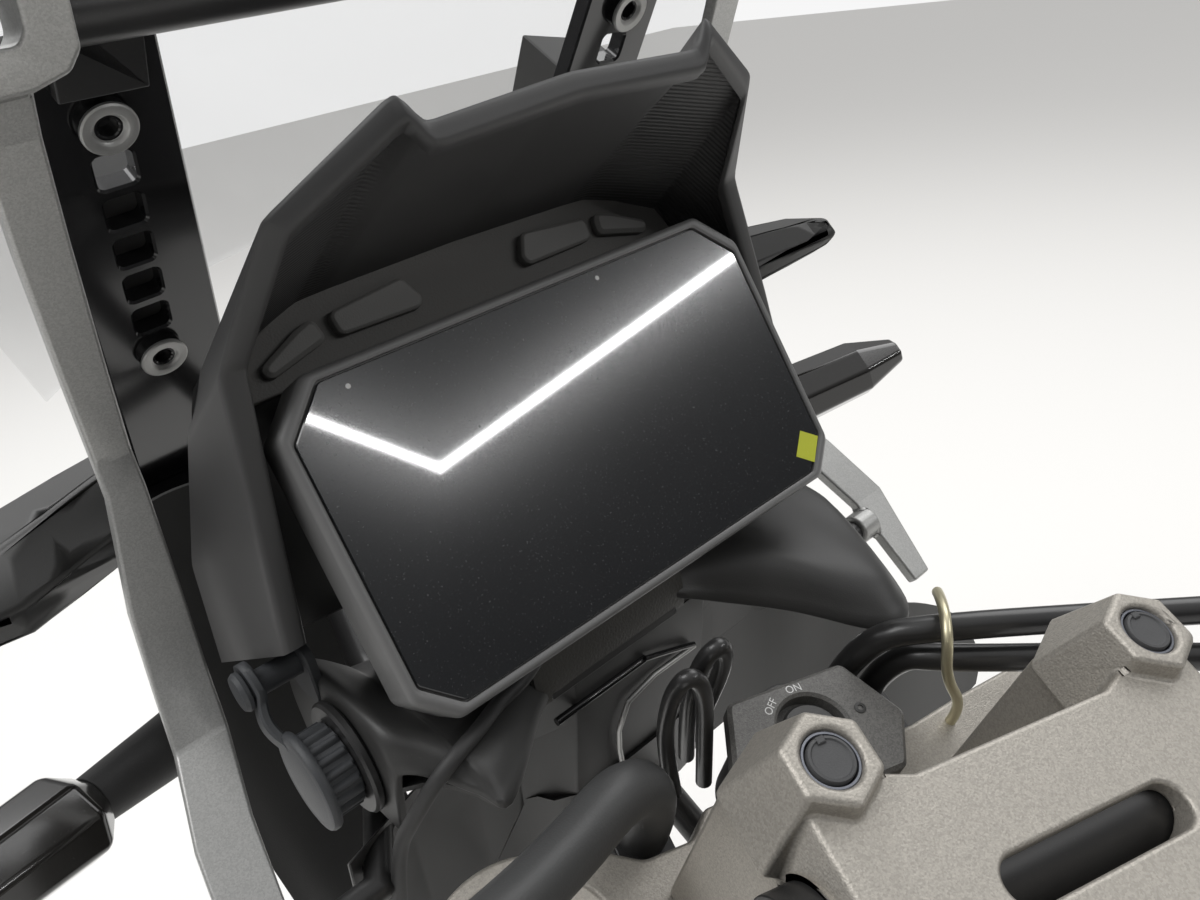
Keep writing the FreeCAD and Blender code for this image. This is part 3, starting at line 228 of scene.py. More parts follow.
def smoothRows(rows, count):
    # Catmull-Rom rows through the given ones, count steps between neighbours
    rows = np.asarray(rows, float)
    padded = np.concatenate([[2 * rows[0] - rows[1]], rows, [2 * rows[-1] - rows[-2]]])
    out = []
    for k in range(len(rows) - 1):
        p0, p1, p2, p3 = padded[k:k + 4]
        for t in np.linspace(0, 1, count, endpoint=False):
            m1, m2 = (p2 - p0) / 2, (p3 - p1) / 2
            out.append((2 * t ** 3 - 3 * t ** 2 + 1) * p1 + (t ** 3 - 2 * t ** 2 + t) * m1
                       + (3 * t ** 2 - 2 * t ** 3) * p2 + (t ** 3 - t ** 2) * m2)
    out.append(rows[-1])
    return np.array(out)


def smoothPatch(table, alongU, alongV):
    across = smoothRows(table, alongU)
    return smoothRows(across.transpose(1, 0, 2), alongV).transpose(1, 0, 2)


def mirrored(part):
    points, faces = part
    return points * [-1, 1, 1], [face[::-1] for face in faces]


# Turning surfaces into pieces

finishes = {}


def finalMesh(name, parts, matrix, shares=None):
    # shares: one value per point, kept as an attribute that a material reads
    points, faces, start = [], [], 0
    for spots, quads in parts:
        points.append(intoRow(spots, matrix))
        faces += [[start + k for k in face] for face in quads]
        start += len(spots)
    mesh = bpy.data.meshes.new(name)
    mesh.from_pydata(np.vstack(points).tolist(), [], faces)
    if shares is not None:
        mesh.attributes.new("ribShare", "FLOAT", "POINT").data.foreach_set("value", shares)
    work = bmesh.new()
    work.from_mesh(mesh)
    bmesh.ops.remove_doubles(work, verts=work.verts, dist=1e-6)
    bmesh.ops.recalc_face_normals(work, faces=work.faces)
    work.to_mesh(mesh)
    work.free()
    return mesh


def addPiece(name, mesh, material, body, slot, replaced=(), bevel=0.0, segments=2, angle=28.0, sharp=32.0):
    mesh.materials.clear()
    mesh.materials.append(finishes[material])
    mesh.polygons.foreach_set("use_smooth", np.ones(len(mesh.polygons), bool))
    mesh.set_sharp_from_angle(angle=math.radians(sharp))
    item = bpy.data.objects.new(name, mesh)
    scene.collection.objects.link(item)
    if bevel:
        rounding = item.modifiers.new("edges", "BEVEL")
        rounding.width = bevel * mm
        rounding.segments = segments
        rounding.limit_method = "ANGLE"
        rounding.angle_limit = math.radians(angle)
        rounding.use_clamp_overlap = False
        rounding.harden_normals = True
        rounding.miter_outer = "MITER_ARC"
    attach(item, body)
    if replaced:
        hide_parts(*replaced)


def build(name, parts, matrix, material, body, slot, replaced=(), shares=None, **rounding):
    addPiece(name, finalMesh(name, parts, matrix, shares), material, body, slot, replaced, **rounding)


def merged(name, reshape=None):
    # a copy of the node's mesh with its loose triangles joined into whole faces
    work = bmesh.new()
    work.from_mesh(nodes[name].data)
    bmesh.ops.remove_doubles(work, verts=work.verts, dist=2e-6)
    bmesh.ops.dissolve_limit(work, angle_limit=math.radians(0.6), verts=work.verts, edges=work.edges)
    mesh = bpy.data.meshes.new(name + "Shape")
    work.to_mesh(mesh)
    work.free()
    if reshape:
        points = np.empty(len(mesh.vertices) * 3)
        mesh.vertices.foreach_get("co", points)
        mesh.vertices.foreach_set("co", reshape(points.reshape(-1, 3)).ravel())
        mesh.update()
    return mesh


def refine(name, material, body, bevel, segments=2, slot=None, reshape=None, angle=28.0, sharp=32.0):
    # the slot, the node's name without its side unless it is given, is passed on but not used
    slot = slot or name.removesuffix("_left").removesuffix("_right")
    addPiece(name + "Shape", merged(name, reshape), material, body, slot, (name,), bevel=bevel, segments=segments,
             angle=angle, sharp=sharp)


# Materials: shared effects are node groups, each finish places them with its own values

class Build:
    # shorthand for one node tree
    def __init__(self, tree):
        self.tree = tree

    def set(self, socket, value):
        if isinstance(value, bpy.types.NodeSocket):
            self.tree.links.new(value, socket)
        else:
            socket.default_value = value

    def add(self, kind, **settings):
        # a setting is the node's own, or else the value of the input of that name or the output it is linked to
        node = self.tree.nodes.new(kind)
        for name, value in settings.items():
            if hasattr(node, name):
                setattr(node, name, value)
            else:
                self.set(node.inputs[name.replace("_", " ")], value)
        return node

    def maths(self, operation, *values):
        node = self.add("ShaderNodeMath", operation=operation)
        for k, value in enumerate(values):
            self.set(node.inputs[k], value)
        return node.outputs[0]

    def between(self, value, low, high, first=0.0, last=1.0):
        node = self.add("ShaderNodeMapRange", Value=value, From_Min=low, From_Max=high, To_Min=first, To_Max=last)
        return node.outputs["Result"]

    def mixed(self, factor, first, last):
        node = self.add("ShaderNodeMix", data_type="RGBA")
        for k, value in ((0, factor), (6, first), (7, last)):
            self.set(node.inputs[k], value)
        return node.outputs[2]


def newGroup(name, inputs, outputs):
    # an input without a value is a vector, one number is a plain number and four are a colour; returned after the
    # group are the shorthand for its nodes, what it is given and what it gives
    group = bpy.data.node_groups.new(name, "ShaderNodeTree")
    for label, value in inputs.items():
        kind = "Vector" if value is None else "Float" if isinstance(value, float) else "Color"
        socket = group.interface.new_socket(label, in_out="INPUT", socket_type="NodeSocket" + kind)
        if value is not None:
            socket.default_value = value
    for label, kind in outputs.items():
        group.interface.new_socket(label, in_out="OUTPUT", socket_type="NodeSocket" + kind)
    work = Build(group)
    return group, work, work.add("NodeGroupInput").outputs, work.add("NodeGroupOutput").inputs


def mouldedGrain():
    # a bump of small rounded cells over soft noise
    group, work, given, out = newGroup(
        "mouldedGrain", {"Vector": None, "Scale": 900.0, "Depth": 0.2, "Normal": None}, {"Normal": "Vector"})
    place = {"Vector": given["Vector"], "Scale": given["Scale"]}
    cells = work.add("ShaderNodeTexVoronoi", feature="SMOOTH_F1", **place)
    noise = work.add("ShaderNodeTexNoise", Detail=3.0, **place)
    height = work.maths("ADD", cells.outputs["Distance"], noise.outputs["Fac"])
    bump = work.add("ShaderNodeBump", Distance=0.00012, Strength=given["Depth"], Height=height,
                    Normal=given["Normal"])
    work.set(out["Normal"], bump.outputs["Normal"])
    return group


def surfaceDrift():
    # colour and roughness that drift in broad blotches, with specks of dust
    group, work, given, out = newGroup(
        "surfaceDrift",
        {"Vector": None, "Colour": (0.1, 0.1, 0.1, 1), "Dust": (0.3, 0.29, 0.27, 1), "Roughness": 0.5, "Amount": 0.1,
         "Specks": 0.1},
        {"Colour": "Color", "Roughness": "Float"})
    broad = work.add("ShaderNodeTexNoise", Scale=22.0, Detail=4.0, Vector=given["Vector"])
    fine = work.add("ShaderNodeTexNoise", Scale=1700.0, Detail=1.0, Vector=given["Vector"])
    blotch = work.maths("MULTIPLY", broad.outputs["Fac"], given["Amount"])
    specks = work.maths("MULTIPLY", work.between(fine.outputs["Fac"], 0.68, 0.76), given["Specks"])
    total = work.maths("ADD", blotch, specks)
    work.set(out["Colour"], work.mixed(total, given["Colour"], given["Dust"]))
    work.set(out["Roughness"], work.maths("ADD", given["Roughness"], total))
    return group


def metalFlake():
    # small bright and dark flakes, as in metallic paint and in the skin of a sand casting
    group, work, given, out = newGroup(
        "metalFlake", {"Vector": None, "Colour": (0.4, 0.4, 0.4, 1), "Size": 2500.0, "Amount": 0.2},
        {"Colour": "Color"})
    cells = work.add("ShaderNodeTexVoronoi", feature="F1", Vector=given["Vector"], Scale=given["Size"])
    grey = work.add("ShaderNodeSeparateColor", Color=cells.outputs["Color"])
    shift = work.maths("SUBTRACT", grey.outputs[0], 0.5)
    level = work.maths("ADD", work.maths("MULTIPLY", shift, given["Amount"]), 1.0)
    scaled = work.add("ShaderNodeVectorMath", operation="SCALE", Scale=level)
    work.set(scaled.inputs[0], given["Colour"])
    work.set(out["Colour"], scaled.outputs["Vector"])
    return group


def mouldedRibs():
    # fine parallel ribs across one axis of the vector, only where the mask is one
    group, work, given, out = newGroup(
        "mouldedRibs", {"Vector": None, "Scale": 170.0, "Mask": 1.0}, {"Normal": "Vector"})
    wave = work.add("ShaderNodeTexWave", wave_type="BANDS", bands_direction="Z", wave_profile="SIN",
                    Vector=given["Vector"], Scale=given["Scale"])
    bump = work.add("ShaderNodeBump", Distance=0.0004, Strength=0.4,
                    Height=work.maths("MULTIPLY", wave.outputs["Fac"], given["Mask"]))
    work.set(out["Normal"], bump.outputs["Normal"])
    return group


grainNodes = mouldedGrain()
driftNodes = surfaceDrift()
flakeNodes = metalFlake()
ribNodes = mouldedRibs()


def newMaterial(name):
    # the shorthand for its nodes, and the place on the piece that its textures read
    material = finishes[name] = bpy.data.materials.new(name)
    material.use_nodes = True
    work = Build(material.node_tree)
    return work, work.add("ShaderNodeTexCoord").outputs["Object"]


def shade(work, looks):
    # values and links of the material's own shader
    shader = work.tree.nodes["Principled BSDF"]
    for label, value in looks.items():
        work.set(shader.inputs[label], value)


def finish(name, colour, rough, metal=0.0, grain=900.0, depth=0.2, drift=0.08, specks=0.05, dust=(0.3, 0.29, 0.27),
           coat=0.0, coatRough=0.1, specular=0.5, flake=0.0, flakeSize=2500.0, ribs=None):
    work, spot = newMaterial(name)
    change = work.add("ShaderNodeGroup", node_tree=driftNodes, Vector=spot, Colour=(*colour, 1), Dust=(*dust, 1),
                      Roughness=rough, Amount=drift, Specks=specks)
    tint = change.outputs["Colour"]
    if flake:
        flakes = work.add("ShaderNodeGroup", node_tree=flakeNodes, Vector=spot, Colour=tint, Amount=flake,
                          Size=flakeSize)
        tint = flakes.outputs["Colour"]
    looks = {"Base Color": tint, "Roughness": change.outputs["Roughness"], "Metallic": metal, "Coat Weight": coat,
             "Coat Roughness": coatRough, "Specular IOR Level": specular}
    if ribs:
        looks["Normal"] = ribbed(work, spot, *ribs)
    if depth:
        normal = looks.get("Normal") or work.add("ShaderNodeNewGeometry").outputs["Normal"]
        texture = work.add("ShaderNodeGroup", node_tree=grainNodes, Vector=spot, Scale=grain, Depth=depth,
                           Normal=normal)
        looks["Normal"] = texture.outputs["Normal"]
    shade(work, looks)


def ribbed(work, spot, tilt, pitch, fromX, toX):
    # ribs across the frame that is tilted about X, coming in where x from the middle grows from one to the other,
    # on the faces that the piece's own share names; a wave node has a band for each twentieth of a turn
    turned = work.add("ShaderNodeMapping", Vector=spot, Rotation=(-math.radians(tilt), 0, 0))
    parts = work.add("ShaderNodeSeparateXYZ", Vector=spot)
    away = work.maths("ABSOLUTE", parts.outputs["X"])
    share = work.add("ShaderNodeAttribute", attribute_name="ribShare").outputs["Fac"]
    mask = work.maths("MULTIPLY", work.between(away, fromX, toX), share)
    ribs = work.add("ShaderNodeGroup", node_tree=ribNodes, Vector=turned.outputs["Vector"], Mask=mask,
                    Scale=2 * math.pi / (20 * pitch))
    return ribs.outputs["Normal"]


finish("displayFace", (0.005, 0.006, 0.008), 0.17, depth=0.0, drift=0.02, specks=0.10, dust=(0.5, 0.5, 0.5),
       coat=1.0, coatRough=0.04, specular=0.4)
finish("bezelPlastic", (0.15, 0.15, 0.15), 0.38, grain=3600, depth=0.10)
finish("hoodPlastic", (0.032, 0.032, 0.033), 0.44, grain=3200, depth=0.12, specks=0.0,
       ribs=(63.7, 0.0018, 0.048, 0.051))
finish("panelPlastic", (0.115, 0.112, 0.106), 0.58, grain=1500, depth=0.8, drift=0.10)
finish("dottedPlastic", (0.050, 0.048, 0.044), 0.50, grain=1150, depth=1.0, drift=0.06)
finish("padRubber", (0.20, 0.197, 0.19), 0.58, grain=2100, depth=0.5)
finish("cowlPlastic", (0.024, 0.024, 0.024), 0.44, grain=2600, depth=0.2)
finish("glossBlack", (0.005, 0.005, 0.006), 0.12, depth=0.0, drift=0.03, coat=0.4)
finish("stayPaint", (0.012, 0.012, 0.013), 0.32, grain=1500, depth=0.1)
finish("silverPaint", (0.42, 0.42, 0.41), 0.38, metal=0.6, grain=3800, depth=0.16, drift=0.04, flake=0.22)
finish("castAluminium", (0.41, 0.385, 0.345), 0.44, metal=0.6, grain=1900, depth=0.6, drift=0.06, flake=0.25,
       flakeSize=2000.0)
finish("steel", (0.5, 0.5, 0.49), 0.30, metal=1.0, grain=3000, depth=0.06)
finish("washerZinc", (0.45, 0.45, 0.44), 0.42, metal=0.85, grain=3000, depth=0.15)
finish("wireZinc", (0.66, 0.61, 0.42), 0.30, metal=0.85, grain=3000, depth=0.05)
finish("bluedSteel", (0.20, 0.21, 0.24), 0.28, metal=0.9, grain=3000, depth=0.05)
finish("darkSteel", (0.06, 0.06, 0.06), 0.4, metal=0.6, grain=2600, depth=0.2)
finish("lockPaint", (0.125, 0.122, 0.116), 0.40, grain=2600, depth=0.5, specks=0.22, flake=0.5, flakeSize=2200.0)
finish("markWhite", (0.75, 0.75, 0.74), 0.5, grain=3000, depth=0.05)
finish("filmYellow", (0.62, 0.66, 0.06), 0.25, grain=3000, depth=0.02, drift=0.02)
finish("barAnodised", (0.02, 0.02, 0.021), 0.33, metal=0.4, grain=3000, depth=0.06)
finish("rubber", (0.018, 0.018, 0.019), 0.55, grain=1700, depth=0.3)
finish("boltRubber", (0.050, 0.051, 0.054), 0.5, grain=2400, depth=0.3)
finish("capRubber", (0.036, 0.039, 0.044), 0.5, grain=2200, depth=0.35)
finish("hoseRubber", (0.010, 0.010, 0.011), 0.26, grain=1500, depth=0.08, coat=0.2, coatRough=0.15)
finish("sleeveRubber", (0.045, 0.046, 0.047), 0.42, grain=1800, depth=0.3)
finish("lampLens", (0.010, 0.009, 0.008), 0.12, depth=0.0, drift=0.03, coat=0.5)


def screenFinish(name, alpha):
    work, spot = newMaterial(name)
    noise = work.add("ShaderNodeTexNoise", Scale=30.0, Detail=3.0, Vector=spot)
    rough = work.between(noise.outputs["Fac"], 0, 1, 0.03, 0.12)
    shade(work, {"Base Color": (0.75, 0.78, 0.8, 1), "Alpha": alpha, "Roughness": rough})


screenFinish("screenClear", 0.09)
print("materials made")


# Display: glass, bezel and case

display = {
    "wide": 170.0, "tall": 94.0,
    "topCut": 13.0, "lowCut": 10.3,
    "cornerRound": 2.5, "roundGrowth": 0.6,  # share of an outline's growth that its corners take up
    "glass": [(-0.45, -2.0), (-0.45, -0.25), (-0.7, 0.0)],  # growth of the outline, height
    "bezel": [(2.4, -16.0), (3.2, -15.0), (3.2, -1.6), (2.95, -0.5), (2.2, 0.35), (1.7, 0.6), (0.9, 0.6), (0.45, 0.45),
              (0.1, 0.1), (0.1, -1.8)],
    "sensors": [(-64.4, 42.6), (26.2, 43.6)], "sensor": [(0.75, -0.05), (0.75, 0.072), (0.525, 0.12), (0.1, 0.12)],
    "film": [(70.6, -39.4), (77.2, -44.6), (84.0, -37.4), (77.4, -32.4)], "filmThick": (-0.05, 0.12),
}


def octagon(values, grow=0.0):
    wide, tall = values["wide"] / 2 + grow, values["tall"] / 2 + grow
    top, low = values["topCut"], values["lowCut"]
    right = [(wide - top, tall), (wide, tall - top), (wide, low - tall), (wide - low, -tall)]
    ring = np.array(right + [(-x, y) for x, y in reversed(right)])
    return roundCorners(ring, values["cornerRound"] + max(grow, 0) * values["roundGrowth"], 4)


def octagonPart(values, levels):
    # one outline for each pair of growth and height
    return stack([(octagon(values, grow), height) for grow, height in levels])


def displayPieces(values):
    build("glassFace", [octagonPart(values, values["glass"])], displayFrame, "displayFace", "cockpit",
          "display_glass", ("display_glass",), sharp=25)
    build("bezelFrame", [octagonPart(values, values["bezel"])], displayFrame, "bezelPlastic", "cockpit",
          "display_bezel", ("display_bezel",), sharp=40)
    refine("display_housing", "cowlPlastic", "cockpit", 2.2, 3)
    build("glassSensors", [lathe(values["sensor"], 16, spot) for spot in values["sensors"]], displayFrame, "markWhite",
          "cockpit", "display_glass")
    build("filmTab", [prism(values["film"], *values["filmThick"])], displayFrame, "filmYellow", "cockpit",
          "display_glass")


displayPieces(display)


# Hood: a wall along seven stations each side, with a thick rounded lip at its rim

hood = {
    "stations": [  # name, root, rim, inward
        ("tip", (109.0, -14.0, -88.0), (105.5, -14.5, -22.0), (-1.0, 0.0, 0.0)),
        ("cheek", (106.0, 18.0, -74.0), (101.0, 17.0, -9.0), (-1.0, 0.0, 0.0)),
        ("kink", (98.0, 50.0, -40.0), (95.0, 56.8, 6.5), (-1.0, -0.15, 0.0)),
        ("corner", (89.0, 65.5, -27.0), (82.0, 79.3, 42.6), (-0.65, -0.75, 0.0)),
        ("peak", (57.0, 76.5, -27.0), (50.0, 91.8, 63.7), (-0.15, -1.0, 0.0)),
        ("notch", (46.0, 77.0, -27.0), (44.7, 84.5, 61.2), (0.0, -1.0, 0.0)),
        ("middle", (0.0, 77.8, -27.0), (0.0, 87.0, 62.0), (0.0, -1.0, 0.0)),
    ],
    "wall": 3.0,
    "lip": 6.8,       # thickness of the rim's bead
    "lipDeep": 5.0,
    "lipRound": (0.5, 1.6),
    "straight": 26.0,  # from the lip down to the wall's last row above its root
    "crease": 3.0,    # how far each side of a station the fold is rounded
    "creaseMost": 0.4,  # most of the way to the next station that it takes up
    "fold": (0.28, 0.6, 0.12),  # shares of the near end, the station and the far end within a fold
}


def hoodStations(values):
    half = [(np.array(root), np.array(rim), np.array(way)) for _, root, rim, way in values["stations"]]
    flip = np.array([-1.0, 1.0, 1.0])
    full = half + [(root * flip, rim * flip, way * flip) for root, rim, way in reversed(half[:-1])]
    table = np.array([np.concatenate(row) for row in full])
    out = [table[0]]
    near, own, far = values["fold"]
    for before, here, after in zip(table, table[1:], table[2:]):
        first, last = (here + way * min(values["crease"] / np.linalg.norm(way[3:6]), values["creaseMost"])
                       for way in (before - here, after - here))
        out += [first, first * near + here * own + last * far, first * far + here * own + last * near, last]
    out.append(table[-1])
    return np.array(out)


def hoodPiece(values):
    # each station is a closed section: up the outer face, round the lip and down the inner face
    table = hoodStations(values)
    root, rim, way = table[:, 0:3], table[:, 3:6], unit(table[:, 6:9])
    along = unit(rim - root)
    wall, lip, deep = values["wall"], values["lip"], values["lipDeep"]
    near, bend = values["lipRound"]
    low = deep + values["straight"]
    # distance back from the rim, and depth inwards from the outer face
    section = [(None, 0.0), (low, 0.0), (deep, 0.0), (bend, 0.0), (near, near), (0.0, bend), (0.0, lip - bend),
               (near, lip - near), (bend, lip), (deep, lip), (deep + bend, wall), (low, wall), (None, wall)]
    columns = [(root if back is None else rim - along * back) + way * depth for back, depth in section]
    rows = np.stack(columns, axis=1)
    build("hoodShell", [loft(rows)], displayFrame, "hoodPlastic", "cockpit", "display_hood", ("display_hood",),
          shares=np.tile([0.0] * 10 + [1.0] * 3, len(rows)), sharp=50)


hoodPiece(hood)
refine("hood_panel", "panelPlastic", "cockpit", 0.8)

pads = {
    "faces": {  # corners on the pad's foot, display frame
        "inner": [(19.7, 61.8), (23.7, 69.4), (50.4, 66.8), (49.7, 59.1), (21.5, 58.6)],
        "outer": [(53.5, 59.8), (55.0, 67.5), (62.0, 65.3), (76.0, 58.6), (74.0, 54.5)],
    },
    "foot": -27.0, "tall": 4.0,
    "chamfers": {"inner": 0.9, "outer": 1.4}, "round": 2.4,
}


def padPieces(values):
    parts = []
    for label, ring in values["faces"].items():
        part = prism(roundCorners(ring, values["round"], 3), values["foot"], values["foot"] + values["tall"],
                     values["chamfers"][label])
        parts += [part, mirrored(part)]
    build("padBlocks", parts, displayFrame, "padRubber", "cockpit", "panel_pads", ("panel_pads",), bevel=0.35)


padPieces(pads)
print("display and hood made")


# Rails with their washers, side bars and the upper bar

rails = {
    "half": 16.8, "flare": 8.0, "top": 24.0, "foot": -186.0, "thick": 6.0, "edge": 0.7,
    "window": 5.25, "windowRound": 1.9, "firstWindow": -15.3, "pitch": 14.0, "windows": 5,
    "bosses": (0.0, -86.6),
    "boss": [(7.0, -1.0), (7.0, 1.9), (6.4, 2.5), (3.0, 2.5), (2.6, 2.2), (2.6, -1.0)],
    "washer": [(7.4, 2.5), (7.4, 3.3), (6.9, 3.7), (4.9, 3.7), (4.5, 3.5), (3.9, 2.9), (3.9, 2.5)],
    "threads": 5, "thread": (3.9, 2.9), "threadPitch": 0.28, "threadTaper": 0.24,
    "threadRoot": 0.25, "threadCrest": 0.12,
}


def railParts(values, sign):
    # a plain plate at each end, and between them one cell per window; long edges and windows are chamfered
    edge, thick, pitch, wide = (values[key] for key in ("edge", "thick", "pitch", "window"))
    slope = values["flare"] / (values["top"] - values["foot"])

    def plate(high, low, pull):
        # four corners of the rail between two heights, its sides drawn in
        corners = []
        for y, ends in ((low, (-1, 1)), (high, (1, -1))):
            for end in ends:
                grow = slope * (values["top"] - y) if end == -sign else 0.0
                corners.append((end * (values["half"] + grow - pull), y))
        return np.array(corners)

    parts = []
    cellTop = values["firstWindow"] + pitch / 2
    cellFoot = cellTop - pitch * values["windows"]
    for ends in ((values["top"], cellTop), (cellFoot, values["foot"])):
        parts.append(stack([(plate(*ends, pull), height)
                            for pull, height in ((0.0, -thick), (0.0, -edge), (edge, 0.0))]))
    window = roundCorners([(-wide, -wide), (wide, -wide), (wide, wide), (-wide, wide)], values["windowRound"], 5)
    for k in range(values["windows"]):
        centre = np.array([0.0, values["firstWindow"] - k * pitch])
        ends = centre[1] + pitch / 2, centre[1] - pitch / 2
        full, narrow = plate(*ends, 0.0), plate(*ends, edge)
        spread = np.vstack([full, narrow]) - centre
        angles = np.sort(np.concatenate([around(72), np.arctan2(spread[:, 1], spread[:, 0]) % (2 * math.pi)]))
        levels = [(full, -thick), (full, -edge), (narrow, 0.0), (shrunk(window, -edge) + centre, 0.0),
                  (window + centre, -edge), (window + centre, -thick)]
        parts.append(stack([(rayed(ring, centre, angles), height) for ring, height in levels], True))
    return parts + [lathe(values["boss"], 48, (0, up), ring=True) for up in values["bosses"]]


def washerParts(values, centre):
    # the washer, and small rings that step down its hole, each a little narrower than the last
    parts = [lathe(values["washer"], 48, centre, ring=True)]
    pitch, root, crest = values["threadPitch"], values["threadRoot"], values["threadCrest"]
    for k in range(values["threads"]):
        radius, height = values["thread"][0] - values["threadTaper"] * k, values["thread"][1] - pitch * k
        profile = [(radius + root, height - pitch), (radius + root, height), (radius - crest, height - pitch / 2)]
        parts.append(lathe(profile, 32, centre, ring=True))
    return parts


def railPieces(values):
    for side, sign in signs.items():
        matrix = railFrame(sign)
        build(f"railPlate{side.title()}", railParts(values, sign), matrix, "glossBlack", "cockpit", "screen_rail",
              (f"screen_rail_{side}",), sharp=25)
        refine(f"rail_clamp_{side}", "glossBlack", "cockpit", 0.8)
        for name, up in zip(("Upper", "Lower"), values["bosses"]):
            build(f"washer{name}{side.title()}", washerParts(values, (0, up)), matrix, "washerZinc", "cockpit",
                  "steel")


railPieces(rails)
for side in signs:
    refine(f"side_bar_{side}", "silverPaint", "cockpit", 1.1, 3, angle=16.0, sharp=16.0)
refine("accessory_bar", "stayPaint", "cockpit", 0.6)
print("rails and bars made")


# Cowls under the display: smooth shells over the source's stations

cowls = {
    "wall": 3.0, "inward": (0, 0, -1),  # unless a station has its own
    "right": [
        (16.0, [(94, 160), (103, 166), (126, 166), (150, 156)]),
        (30.0, [(86, 153), (96, 165), (126, 167), (152, 157)]),
        (46.0, [(68, 147), (84, 164), (126, 168), (154, 158)]),
        (60.0, [(45, 141), (66, 158), (124, 167), (156, 158)]),
        (72.0, [(41, 140), (60, 155), (122, 165), (158, 157)]),
        (84.0, [(54, 142), (70, 154), (120, 163), (160, 155)]),
        (98.0, [(88, 153), (98, 158), (120, 160), (162, 152)]),
        (106.0, [(104, 146), (112, 150), (124, 153), (160, 148)]),
    ],
    "left": [
        (-40.0, [(95, 155), (104, 161), (126, 164), (150, 155)]),
        (-50.0, [(87, 157), (98, 163.5), (127, 165), (152, 156)]),
        (-76.0, [(66, 158), (80, 168), (130, 167.5), (158, 157)]),
        (-82.0, [(72, 162), (88, 172), (134, 172), (158, 160)]),
        (-88.0, [(82, 166), (94, 176), (140, 176), (157, 165)]),
        (-94.0, [(88, 168), (98, 179), (142, 179), (156, 168)], (0.3, 0, -1)),
        (-96.4, [(90.5, 163), (99.5, 172), (141, 172), (155, 163)], (1, 0, -0.6)),
        (-96.7, [(97.5, 140), (105, 140), (138, 140), (152, 140)], (1, 0, 0)),
    ],
    "steps": (5, 6),
}


def shell(values, label):
    # an outer surface and one set inwards from it, closed round their edges
    outer, ways = [], []
    for x, line, *own in values[label]:
        outer.append([(x, y, z) for y, z in line])
        ways.append([own[0] if own else values["inward"]] * len(line))
    outer = smoothPatch(outer, *values["steps"])
    ways = unit(smoothPatch(unit(ways), *values["steps"]))
    return loft(np.concatenate([outer, (outer + ways * values["wall"])[:, ::-1]], axis=1))


for label, replaced in (("right", ("cowl_right",)), ("left", ())):
    build(f"cowl{label.title()}Shell", [shell(cowls, label)], rowFrame, "cowlPlastic", "cockpit", "cowl", replaced,
          bevel=0.9, angle=50.0, sharp=55)
refine("centre_panel", "cowlPlastic", "cockpit", 0.6, slot="cowl")

# Linings between the pieces: each row runs across the sheet, as x, y and z in turn, and the wall leads inwards

shroudHalf = [(68, -14, -46, 108, -14, -84), (68, 18, -42, 105, 18, -71), (66, 38, -36, 97, 50, -38.5),
              (62, 44, -33, 88.5, 65, -27.6), (50, 48, -32, 57, 77, -27.6)]
linings = {
    "dottedPanel": {
        "finish": "dottedPlastic", "inward": (0, 1, 0), "wall": 2.0, "steps": (3, 4),
        "rows": [(-45, 99, 170, -45, 98, 168, -45, 97.4, 160, -45, 98, 152, -45, 100, 150)]
        + [(x, 98, 172, x, 95, 170, x, 93.6, 160, x, 95, 151, x, 99, 148) for x in (-42, -20, 20)],
    },
    "consoleUnder": {
        "inward": (0, 0, 1), "wall": 1.6, "steps": (3, 3),
        "rows": [(-42, 97, 152, -42, 104, 150), (-50, 89, 153.5, -50, 112, 149), (-76, 68, 154.5, -76, 114, 149),
                 (-82, 74, 158, -82, 114, 149), (-88, 84, 160, -88, 114, 150), (-95, 92, 158, -95, 114, 150)],
    },
    "apronSheet": {
        "inward": (0, 1, -0.2), "wall": 2.0, "steps": (3, 3),
        "rows": [(-112, 125, 70, -112, 130, 40), (-84, 129.5, 70, -84, 133, 42), (-60, 128.5, 70, -60, 132, 44),
                 (-44, 121.5, 95, -44, 128, 48), (-30, 108, 95, -30, 124, 50), (30, 108, 95, 30, 124, 50),
                 (44, 121.5, 95, 44, 128, 50), (60, 125.5, 99, 60, 129, 50), (84, 125.5, 99, 84, 129, 48),
                 (104, 117, 99, 104, 127, 36), (124, 114, 92, 124, 124, 12), (150, 108, 70, 150, 116, -14),
                 (176, 105, 56, 176, 113, -27), (200, 104, 38, 200, 112, -36), (220, 104, 12, 220, 110, -38),
                 (232, 104, -12, 232, 107, -32)],
    },
    "innerFairing": {
        "inward": (0, 1, 0), "wall": 2.0, "steps": (4, 5), "mirrored": True,
        "rows": [(-118, 196, 218, -104, 201, 222, -84, 203, 220, -62, 202, 212),
                 (-121, 192, 190, -106, 198, 190, -85, 201, 188, -62, 200, 186),
                 (-122, 186, 150, -107, 193, 150, -86, 197, 150, -62, 197, 150),
                 (-120, 176, 100, -106, 184, 100, -86, 188, 100, -62, 189, 100),
                 (-114, 160, 45, -102, 168, 45, -84, 172, 45, -62, 174, 45)],
    },
    "hoodShroud": {
        "frame": displayFrame, "inward": (0, -0.3, -1), "wall": 1.5, "steps": (3, 2),
        "rows": [tuple(np.array(row) * [-1, 1, 1, -1, 1, 1]) for row in shroudHalf]
        + [(0, 50, -32, 0, 78, -27.6)] + shroudHalf[::-1],
    },
}


